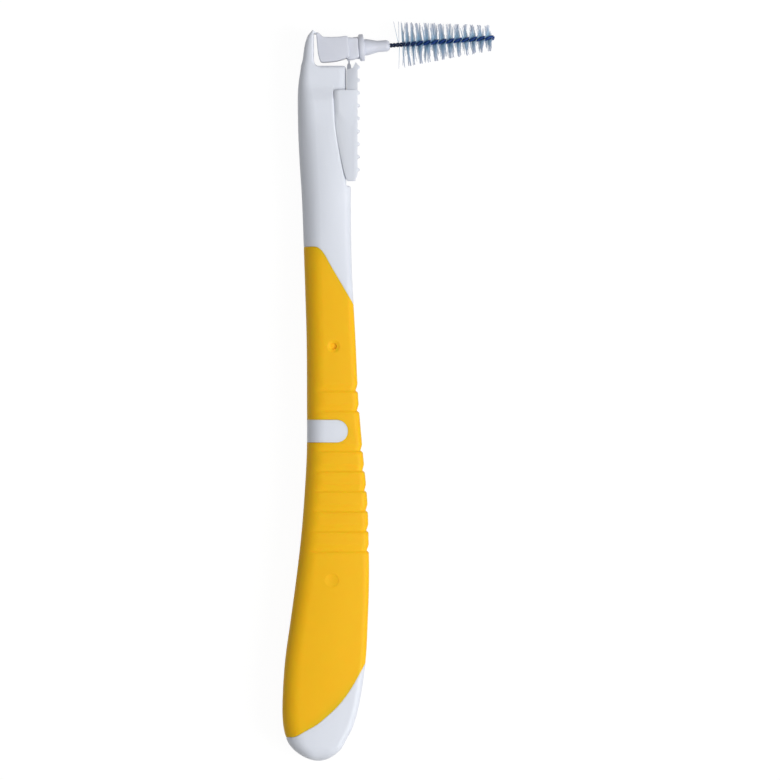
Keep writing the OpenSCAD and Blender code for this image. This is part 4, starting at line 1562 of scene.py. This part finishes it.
@dataclass
class Holder:
    """Brush holder with its flange ring and nose, its two film hinges, the wire and the filaments."""

    pivot: Vector
    slide: Slide
    form: HandleForm
    bench: Bench
    white: MouldedPlastic
    # darker, bluer copy of the white moulding for the holder: painted shade, the same plastic as the handle
    shaded_white: MouldedPlastic
    wire_finish: CoatedWire
    nylon: NylonFilament
    block_l: float = 4.08
    block_h: float = 3.76
    block_t: float = 3.8
    throat_t: float = 3.1
    root_d: float = 2.76
    throat_h: float = 3.7
    throat_l: float = 1.24
    flange_d: float = 3.38
    flange_w: float = 0.67
    land_d: float = 2.06
    land_l: float = 0.45
    nose_d: float = 1.44
    nose_l: float = 2.78
    cone_l: float = 1.2
    axis_drop: float = 2.25
    head_rise: float = 4.3
    wire_d: float = 0.27
    nip: float = 0.04
    twist_l: float = 1.93
    wire_hold: float = 0.6
    bare_l: float = 0.5
    brush_l: float = 12.3
    wire_end: float = 0.35
    base_d: float = 6.0
    tip_d: float = 3.25
    strand_r: float = 0.16
    tight_share: float = 0.86
    tight_l: float = 3.25
    tighten: float = 0.11
    wire_rings: int = 560
    wire_sides: int = 10
    loop_rings: int = 13
    filament_count: int = 440
    filament_d: float = 0.06
    filament_rows: tuple[float, ...] = (0.3, 0.62, 1.0)
    root_share: float = 0.2
    clump: int = 5
    gather_share: float = 0.28
    bends: tuple[float, ...] = (-0.22, -0.12, -0.05, 0.0, 0.05, 0.12, 0.2)
    bend_power: float = 1.7
    clump_turn: float = 0.05
    clump_lean: float = 0.025
    own_turn: float = 0.09
    own_lean: float = 0.02
    own_shift: float = 0.012
    own_bend_share: float = 0.3
    least_reach: float = 0.96
    least_stand: float = 0.6
    loose_share: float = 0.1
    loose: tuple[tuple[float, float, float], ...] = (
        (0.6, 0.1, -0.14), (0.64, -0.2, 0.06), (0.7, math.pi + 0.1, -0.1), (1.05, 0.3, 0.02),
        (1.0, math.pi - 0.3, 0.03), (1.12, -0.5, 0.0), (1.18, math.pi + 0.2, 0.0),
    )
    seed: int = 7
    block_round: float = 0.28
    throat_round: float = 0.5
    ring_edge: float = 0.09
    ring_step: float = 0.02
    land_step: float = 0.01
    draft: float = 0.03
    nose_round: float = 0.75
    nose_rows: int = 8
    turned_faces: int = 64
    bore_depth: float = 0.3
    film_root: float = 0.02
    film_overlap: float = 0.03
    film_waist: float = 0.03
    film_high: float = 0.985
    film_low: float = 0.91
    film_rows: int = 9
    film_sunk: float = 0.04
    film_turn: float = 1.5
    block_side: tuple[Point, ...] = (
        (0.035, -0.015), (0.1, 0), (0.16, 0.06), (0.212, 0.129), (0.26, 0.155), (0.5, 0.183), (0.72, 0.193),
        (0.9, 0.182), (0.965, 0.181), (1, 0.2), (1, 0.88), (0.9, 0.917), (0.83, 0.937), (0.75, 0.96),
        (0.69, 0.975), (0.6, 0.99), (0.5, 1), (0.17, 1), (0.13, 0.985), (0.1, 0.955), (0.07, 0.86),
        (0.045, 0.7), (0.035, 0.05),
    )
    throat_side: tuple[Point, ...] = (
        (-0.3, 0.214), (0.2, 0.24), (1, 0.283), (1, 0.925), (0.35, 1), (-0.2, 1), (-0.3, 0.97),
    )

    @property
    def flange_x(self) -> float:
        """Back of the flange ring along the holder."""
        return self.block_l + self.throat_l

    @property
    def tip_x(self) -> float:
        """End of the nose along the holder."""
        return self.flange_x + self.flange_w + self.land_l + self.nose_l

    @property
    def brush_x(self) -> float:
        """First filament along the holder."""
        return self.tip_x + self.bare_l

    @property
    def leg_r(self) -> float:
        """Distance of each strand's middle from the axis of the twist."""
        return self.wire_d / 2 + self.nip

    @property
    def loop_x(self) -> float:
        """Where the strands meet the loop."""
        return self.brush_x + self.brush_l + self.wire_end - self.leg_r - self.wire_d / 2

    @property
    def at_holder(self) -> Matrix:
        """Turns the holder's own directions into the frame's."""
        place = Vector((self.pivot.x, self.pivot.y, 0))
        return Matrix.Translation(place) @ Matrix.Rotation(math.radians(self.head_rise), 4, "Z")

    @property
    def on_axis(self) -> Matrix:
        """Turns places along the brush's axis into the frame's."""
        return self.at_holder @ Matrix.Translation((0, -self.axis_drop, 0))

    def spot(self, x: float, y: float) -> Point:
        """Place in the holder's own directions, in the frame."""
        place = self.at_holder @ Vector((x, y, 0))
        return place.x, place.y

    def build(self) -> list[bpy.types.Object]:
        """Builds the holder's pieces and its two film hinges."""
        bench = self.bench
        riders = [
            bench.finish(self.moulding(), "holder_moulding", Slot.WHITE, self.shaded_white, ["brush_holder"]),
            bench.finish(
                self.wire(), "twisted_strands", Slot.WIRE, self.wire_finish, ["twisted_wire"], smooth=60
            ),
            bench.finish(self.tufts(), "filament_tufts", Slot.FILAMENT, self.nylon, ["bristles"], smooth=80),
        ]
        for piece in riders:
            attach(piece, Body.HOLDER.value)
        tip = bench.finish(self.tip_film(), "tip_film", Slot.FILM, self.white, ["tip_film_hinge"])
        start, end = self.tip_film_ends()
        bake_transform(tip)
        under = bench.finish(self.under_film(), "strap_film", Slot.FILM, self.white, ["strap_film_hinge"])
        pin = self.slide.strap_pin
        half = Vector((0, self.slide.film_l / 2, 0))
        (pin + half) * MM
        (pin - half) * MM
        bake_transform(under)
        return riders + [tip, under]

    def moulding(self) -> bmesh.types.BMesh:
        """Block, throat, flange ring, land, cone and nose."""
        block = self.side_plate(
            self.block_side, 0, self.block_l, self.block_h, self.block_t, self.block_round, angle=50
        )
        throat = self.side_plate(
            self.throat_side, self.block_l, self.throat_l, self.throat_h, self.throat_t, self.throat_round,
            angle=60,
        )
        flange_end = self.flange_x + self.flange_w
        land_end = flange_end + self.land_l
        nose_x = land_end + self.cone_l
        edge, wire_r = self.ring_edge, self.wire_d + self.nip
        root_r, flange_r, land_r = self.root_d / 2, self.flange_d / 2, self.land_d / 2
        nose_r = self.nose_d / 2
        profile = [
            (self.flange_x - self.flange_w, 0), (self.flange_x - self.flange_w, root_r),
            (self.flange_x, root_r + self.ring_step), (self.flange_x + self.ring_step, flange_r - edge * 2),
            (self.flange_x + edge, flange_r - edge * 0.5), (self.flange_x + edge * 2, flange_r),
            (flange_end - edge * 1.5, flange_r), (flange_end - edge * 0.5, flange_r - edge * 0.4),
            (flange_end, flange_r - edge * 1.4), (flange_end + self.land_step, land_r + edge),
            (flange_end + edge, land_r), (land_end - edge, land_r), (land_end + edge, land_r - self.draft),
            (nose_x - edge, nose_r + self.draft), (nose_x + edge, nose_r),
        ]
        for turn in (QUARTER * t for t in ramp(self.nose_rows)):
            x = self.tip_x - nose_r * self.nose_round * (1 - math.sin(turn))
            profile.append((x, mix(wire_r, nose_r, math.cos(turn))))
        profile += [(self.tip_x - self.bore_depth, wire_r), (self.tip_x - self.bore_depth, 0)]
        return gather([block, throat, move(lathe(profile, self.turned_faces), self.on_axis)])

    def side_plate(
        self, shares: Sequence[Point], start: float, length: float, height: float, thick: float, edge: float,
        angle: float,
    ) -> bmesh.types.BMesh:
        """Plate with a side outline and rounded edges, in the frame.

        Args:
            shares: corners of the outline, as shares of its length and of its height downwards.
            start: where it starts along the holder.
            length: its length.
            height: its height.
            thick: its thickness.
            edge: how far the rounding reaches.
            angle: turn in degrees past which an edge is rounded.

        Returns:
            A new closed mesh.
        """
        plate = prism([(start + x * length, -y * height) for x, y in shares], -thick / 2, thick / 2)
        soften(plate, edge, segments=5, angle=angle)
        return move(plate, self.at_holder)

    def tip_film_ends(self) -> tuple[Vector, Vector]:
        """Ends of the film between arm and holder, where its bend starts and stops."""
        y, mid = self.pivot.y, self.bench.mid
        x, _ = self.spot(self.block_side[0][0] * self.block_l, 0)
        return Vector((self.form.arm_face_x, y, mid)), Vector((x, y, mid))

    def tip_film(self) -> bmesh.types.BMesh:
        """Film hinge between the arm's tip and the holder's corner."""
        form = self.form
        left = form.arm_face_x - self.film_root
        sides = []
        for corner, height, bend in (
            (self.block_side[-1], self.film_low, self.film_waist),
            (self.block_side[0], self.film_high, -self.film_waist),
        ):
            near = form.neck_y + form.arm_l * height
            x, y = self.spot(corner[0] * self.block_l + self.film_overlap, -corner[1] * self.block_h)
            sides.append([
                (mix(left, x, t), mix(near, y, t) + bend * math.sin(math.pi * t))
                for t in ramp(self.film_rows)
            ])
        return self._film(sides[0] + sides[1][::-1], self.block_t)

    def under_film(self) -> bmesh.types.BMesh:
        """Film hinge between the holder's throat and the strap."""
        s = self.slide
        sides = []
        for side in (-1, 1):
            across = self.block_l - s.strap_t / 5 + side * s.film_t * s.film_flare
            x, y = self.spot(across, self.film_sunk - self.throat_h)
            foot_x, foot_y = s.strap_pin.x + side * s.film_t / 2, s.strap_pin.y - s.film_l / 2
            sides.append([
                (mix(x, foot_x, ease(t * self.film_turn)), mix(y, foot_y, t)) for t in ramp(self.film_rows)
            ])
        return self._film(sides[0] + sides[1][::-1], s.strap_w)

    @staticmethod
    def _film(ring: Sequence[Point], width: float) -> bmesh.types.BMesh:
        """Film of one width, folded round a ring of corners and closed at its sides by a row of quads."""

        def place(row: int, column: int) -> Vector:
            x, y = ring[column]
            return Vector((x, y, mix(-width / 2, width / 2, row)))

        sheet = drape(2, len(ring), place)
        sheet.verts.ensure_lookup_table()
        ends = [e for e in sheet.edges if e.is_boundary and abs(e.verts[0].co.z - e.verts[1].co.z) > WELD]
        bmesh.ops.contextual_create(sheet, geom=ends)
        for side in (-1, 1):
            flat = [e for e in sheet.edges if e.is_boundary and all(v.co.z * side > 0 for v in e.verts)]
            bmesh.ops.contextual_create(sheet, geom=flat)
        bmesh.ops.triangulate(sheet, faces=[f for f in sheet.faces if len(f.verts) > 4])
        bmesh.ops.recalc_face_normals(sheet, faces=sheet.faces[:])
        return sheet

    def twist(self, x: float) -> float:
        """Angle of the wire's twist, which tightens towards the holder.

        Args:
            x: place along the brush's axis.

        Returns:
            The angle in radians, 0 where the strands meet the loop.
        """
        tight = max(0.0, self.brush_x + self.tight_l - x)
        return 2 * math.pi * ((self.loop_x - x) / self.twist_l + self.tighten * tight * tight)

    def squeeze(self, x: float) -> float:
        """Girth of the wire at a place, as a share, which falls where the twist is tight."""
        return mix(1, self.tight_share, ease((self.brush_x + self.tight_l - x) / self.tight_l))

    def wire(self) -> bmesh.types.BMesh:
        """Wire folded double and twisted, with its open loop at the tip."""
        loop_x, leg_r = self.loop_x, self.leg_r
        foot = self.tip_x - self.wire_hold
        places = ramp(self.wire_rings, foot, loop_x)
        path = [self.leg(x, 1) for x in places]
        for turn in (math.pi * t for t in ramp(self.loop_rings)[1:-1]):
            path.append(Vector((loop_x + leg_r * math.sin(turn), leg_r * math.cos(turn), 0)))
        path += [self.leg(x, -1) for x in places[::-1]]

        def place(row: int, column: int) -> Vector:
            ahead = (path[min(row + 1, len(path) - 1)] - path[max(row - 1, 0)]).normalized()
            out = Vector((0, -path[row].z, path[row].y))
            if out.length < leg_r / 2:
                out = Vector((0, 0, math.copysign(1, row - len(path) / 2)))
            out = (out - ahead * out.dot(ahead)).normalized()
            turn = 2 * math.pi * column / self.wire_sides
            reach = out * math.cos(turn) + ahead.cross(out) * math.sin(turn)
            return path[row] + reach * self.strand_r * self.squeeze(path[row].x)

        return move(seal(drape(len(path), self.wire_sides + 1, place)), self.on_axis)

    def leg(self, x: float, side: int) -> Vector:
        """Middle of one of the two strands at a place along the axis."""
        turn, reach = self.twist(x), side * self.leg_r * self.squeeze(x)
        return Vector((x, reach * math.cos(turn), reach * math.sin(turn)))

    def strand(self, bend: float) -> bpy.types.Mesh:
        """One filament of unit length along Y, bent along X.

        Args:
            bend: how far its tip leans along X, in millimetres.

        Returns:
            The filament's mesh, with its reach attribute.
        """
        bm = bmesh.new()
        section = bmesh.ops.create_circle(bm, cap_ends=True, radius=1, segments=4)
        bmesh.ops.transform(bm, matrix=Matrix.Rotation(-QUARTER, 4, "X"), verts=section["verts"])
        reach = bm.verts.layers.float.new("reach")
        face = bm.faces[:]
        for share in self.filament_rows:
            raised = bmesh.ops.extrude_face_region(bm, geom=face)["geom"]
            face = [item for item in raised if isinstance(item, bmesh.types.BMFace)]
            for vertex in (item for item in raised if isinstance(item, bmesh.types.BMVert)):
                vertex[reach] = share
                vertex.co.y = share
        for vertex in bm.verts:
            vertex.co.x += bend * max(0.0, vertex.co.y) ** self.bend_power / (self.filament_d / 2)
        bmesh.ops.recalc_face_normals(bm, faces=bm.faces[:])
        return settle(bm, "strand")

    def plant(
        self, bm: bmesh.types.BMesh, strand: bpy.types.Mesh, x: float, angle: float, lean: float, reach: float
    ) -> None:
        """Adds one filament.

        Args:
            bm: the mesh that takes it.
            strand: the filament's mesh.
            x: place along the axis.
            angle: turn about the axis.
            lean: tilt towards the tip.
            reach: distance of its tip from the axis.
        """
        before = len(bm.verts)
        bm.from_mesh(strand)
        bm.verts.ensure_lookup_table()
        root, thick = self.strand_r * self.root_share, self.filament_d / 2
        place = (
            Matrix.Translation((x, 0, 0)) @ Matrix.Rotation(angle, 4, "X") @ Matrix.Rotation(-lean, 4, "Z")
            @ Matrix.Translation((0, root, 0)) @ Matrix.Diagonal((thick, reach - root, thick, 1))
        )
        bmesh.ops.transform(bm, matrix=place, verts=bm.verts[before:])

    def tufts(self) -> bmesh.types.BMesh:
        """Filaments that leave the wire on both sides of its nip, turning with its twist, in small clumps."""
        rng = random.Random(self.seed)
        bends = [self.strand(bend) for bend in self.bends]
        straight = bends[self.bends.index(0.0)]
        bm = bmesh.new()
        bm.verts.layers.float.new("reach")
        for side in (0, math.pi):
            shift, tilt, bend = 0.0, 0.0, bends[0]
            for i in range(self.filament_count):
                share = (i + 0.5) / self.filament_count
                x = self.brush_x + share * self.brush_l
                if i % self.clump == 0:
                    shift, tilt = rng.gauss(0, self.clump_turn), rng.gauss(0, self.clump_lean)
                    bend = rng.choice(bends)
                if share < self.loose_share:
                    continue
                turn = QUARTER + self.twist(x)
                gathered = turn - self.gather_share * math.sin(2 * turn)
                x += (turn - gathered) * self.twist_l / (2 * math.pi)
                reach = mix(self.base_d, self.tip_d, share) / 2 * rng.uniform(self.least_reach, 1.0)
                own = rng.choice(bends) if rng.random() < self.own_bend_share else bend
                angle = gathered + side + shift + rng.gauss(0, self.own_turn)
                stand = abs(math.cos(angle))
                lean = (tilt + rng.gauss(0, self.own_lean)) * stand
                strand = own if stand > self.least_stand else straight
                self.plant(bm, strand, x + rng.gauss(0, self.own_shift), angle, lean, reach)
        for x, angle, lean in self.loose:
            self.plant(bm, straight, self.brush_x + x, angle, lean, self.base_d / 2)
        for mesh in bends:
            bpy.data.meshes.remove(mesh)
        return move(bm, self.on_axis)


@dataclass
class Studio:
    """Camera, floor, lamps and world."""

    bench: Bench
    pixels_per_mm: float = 8.0
    image_side: int = 780
    zero_column: float = 336.0
    zero_row: float = 500.0
    lens: float = 500.0
    sensor: float = 36.0
    ambient: float = 0.27
    floor_side: float = 3.0
    floor_drop: float = 0.02
    floor_lit: float = 0.5
    floor_shade: float = 0.08
    floor_glow: float = 0.95
    key_power: float = 4.15
    fill_power: float = 0.9

    @property
    def centre(self) -> Vector:
        """Point of the handle's middle plane in the middle of the picture, in metres."""
        half = self.image_side / 2
        x = (half - self.zero_column) / self.pixels_per_mm
        y = (self.zero_row - half) / self.pixels_per_mm
        return Vector((x, y, self.bench.mid)) * MM

    def camera(self) -> None:
        """Long lens straight above the brush, with +Y up in the picture."""
        data = bpy.data.cameras.new("camera")
        data.lens = self.lens
        data.sensor_width = self.sensor
        data.dof.use_dof = False
        span = self.image_side / self.pixels_per_mm * MM
        camera = add_object("camera", data)
        camera.location = self.centre + Vector((0, 0, span * self.lens / self.sensor))
        bpy.context.scene.camera = camera

    @staticmethod
    def seen(sheet: Sheet) -> Socket:
        """1 for rays that show a thing itself: camera, glossy and transmission rays."""
        rays = [
            sheet.node("ShaderNodeLightPath", output=name)
            for name in ("Is Camera Ray", "Is Glossy Ray", "Is Transmission Ray")
        ]
        return sheet.maths("MAXIMUM", sheet.maths("MAXIMUM", rays[0], rays[1]), rays[2])

    def world(self) -> None:
        """White to the eye and in reflections, a dim even light otherwise."""
        world = bpy.data.worlds.new("studio")
        bpy.context.scene.world = world
        sheet = Sheet(world)
        dim, white = (
            sheet.node("ShaderNodeBackground", sockets={0: (1, 1, 1, 1), 1: light})
            for light in (self.ambient, 1.0)
        )
        both = sheet.node("ShaderNodeMixShader", sockets={0: self.seen(sheet), 1: dim, 2: white})
        sheet.node("ShaderNodeOutputWorld", sockets={"Surface": both})

    def floor(self) -> None:
        """Pale floor that shows white and keeps a faint shadow."""
        bm = bmesh.new()
        bmesh.ops.create_grid(bm, x_segments=1, y_segments=1, size=self.floor_side / 2)
        bmesh.ops.translate(bm, vec=(0, 0, -self.floor_drop * MM), verts=bm.verts[:])
        mesh = settle(bm, "floor")
        material = bpy.data.materials.new("floor")
        sheet = Sheet(material)
        lit, shaded = (
            sheet.node("ShaderNodeBsdfDiffuse", sockets={0: (grey, grey, grey, 1)})
            for grey in (self.floor_lit, self.floor_shade)
        )
        glow = sheet.node("ShaderNodeEmission", sockets={0: (1, 1, 1, 1), 1: self.floor_glow})
        shown = sheet.node("ShaderNodeAddShader", sockets={0: shaded, 1: glow})
        sheet.surface(sheet.node("ShaderNodeMixShader", sockets={0: self.seen(sheet), 1: lit, 2: shown}))
        mesh.materials.append(material)
        add_object("floor", mesh)

    def lamp(
        self, name: str, azimuth: float, elevation: float, distance: float, size: float, power: float
    ) -> None:
        """Square lamp that faces the brush.

        Args:
            name: the lamp's name.
            azimuth: direction from the brush, in degrees from +X towards +Y.
            elevation: height of that direction, in degrees.
            distance: metres from the brush.
            size: side of the lamp in metres.
            power: watts.
        """
        data = bpy.data.lights.new(name, "AREA")
        data.shape = "SQUARE"
        data.size = size
        data.energy = power
        lamp = add_object(name, data)
        turn, rise = math.radians(azimuth), math.radians(elevation)
        way = Vector((math.cos(turn) * math.cos(rise), math.sin(turn) * math.cos(rise), math.sin(rise)))
        lamp.location = self.centre + way * distance
        lamp.rotation_euler = way.to_track_quat("Z", "Y").to_euler()

    def build(self) -> None:
        """Sets up the whole studio."""
        self.camera()
        self.world()
        self.floor()
        self.lamp("key", azimuth=-16, elevation=48, distance=0.75, size=0.4, power=self.key_power)
        self.lamp("fill", azimuth=60, elevation=80, distance=0.7, size=0.5, power=self.fill_power)
        bpy.context.scene.view_settings.view_transform = "Standard"


def main() -> None:
    """Loads the frame, builds every piece and sets up the studio."""
    logging.basicConfig(level=logging.INFO, format="%(name)s: %(message)s")
    frame = Frame.read(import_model())
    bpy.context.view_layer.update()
    bench = Bench((frame.grip_low.z + frame.grip_high.z) / 2)
    Studio(bench).build()
    slide = Slide(frame.strap_pin)
    form = HandleForm(
        tail_y=frame.low.y, tip_y=frame.high.y, grip_t=frame.grip_high.z - frame.grip_low.z,
        wing_top_y=slide.wing_top_y, wing_l=slide.wing_l,
    )
    white = MouldedPlastic(
        "white_plastic", colour=(0.745, 0.775, 0.845), flow_colour=(0.72, 0.75, 0.815), roughness=0.36,
        specular=0.3, scatter=0.3,
    )
    # The holder wears a darker, bluer copy of the white moulding: painted shade, not a different plastic.
    shaded_white = MouldedPlastic(
        "thin_white_plastic", colour=(0.655, 0.675, 0.755), flow_colour=(0.63, 0.65, 0.72), roughness=0.34,
        specular=0.3, scatter=0.3,
    )
    yellow = MouldedPlastic(
        "yellow_plastic", colour=(0.94, 0.53, 0.01), flow_colour=(0.92, 0.5, 0.007), roughness=0.48,
        specular=0.15, scatter=0.4, scatter_reach=(1.0, 0.35, 0.06),
    )
    wire = CoatedWire(
        "wire_coating", dark=(0.003, 0.012, 0.045), blue=(0.003, 0.04, 0.2), start=8.0, end=11.5,
    )
    # shaded and root paint shade and the wire's blue cast onto the strands; tip is the nylon's own colour
    nylon = NylonFilament("nylon", shaded=(0.02, 0.1, 0.3), root=(0.36, 0.66, 0.88), tip=(0.7, 0.73, 0.84))
    pieces = Handle(form, slide, bench, white, yellow).build()
    pieces += Slider(slide, bench, white).build()
    pieces += Strap(slide, bench, white).build()
    pieces += Holder(frame.pivot, slide, form, bench, white, shaded_white, wire, nylon).build()
    for piece in pieces:
        LOG.info("%s is in place", piece.name)


if __name__ == "__main__":
    main()
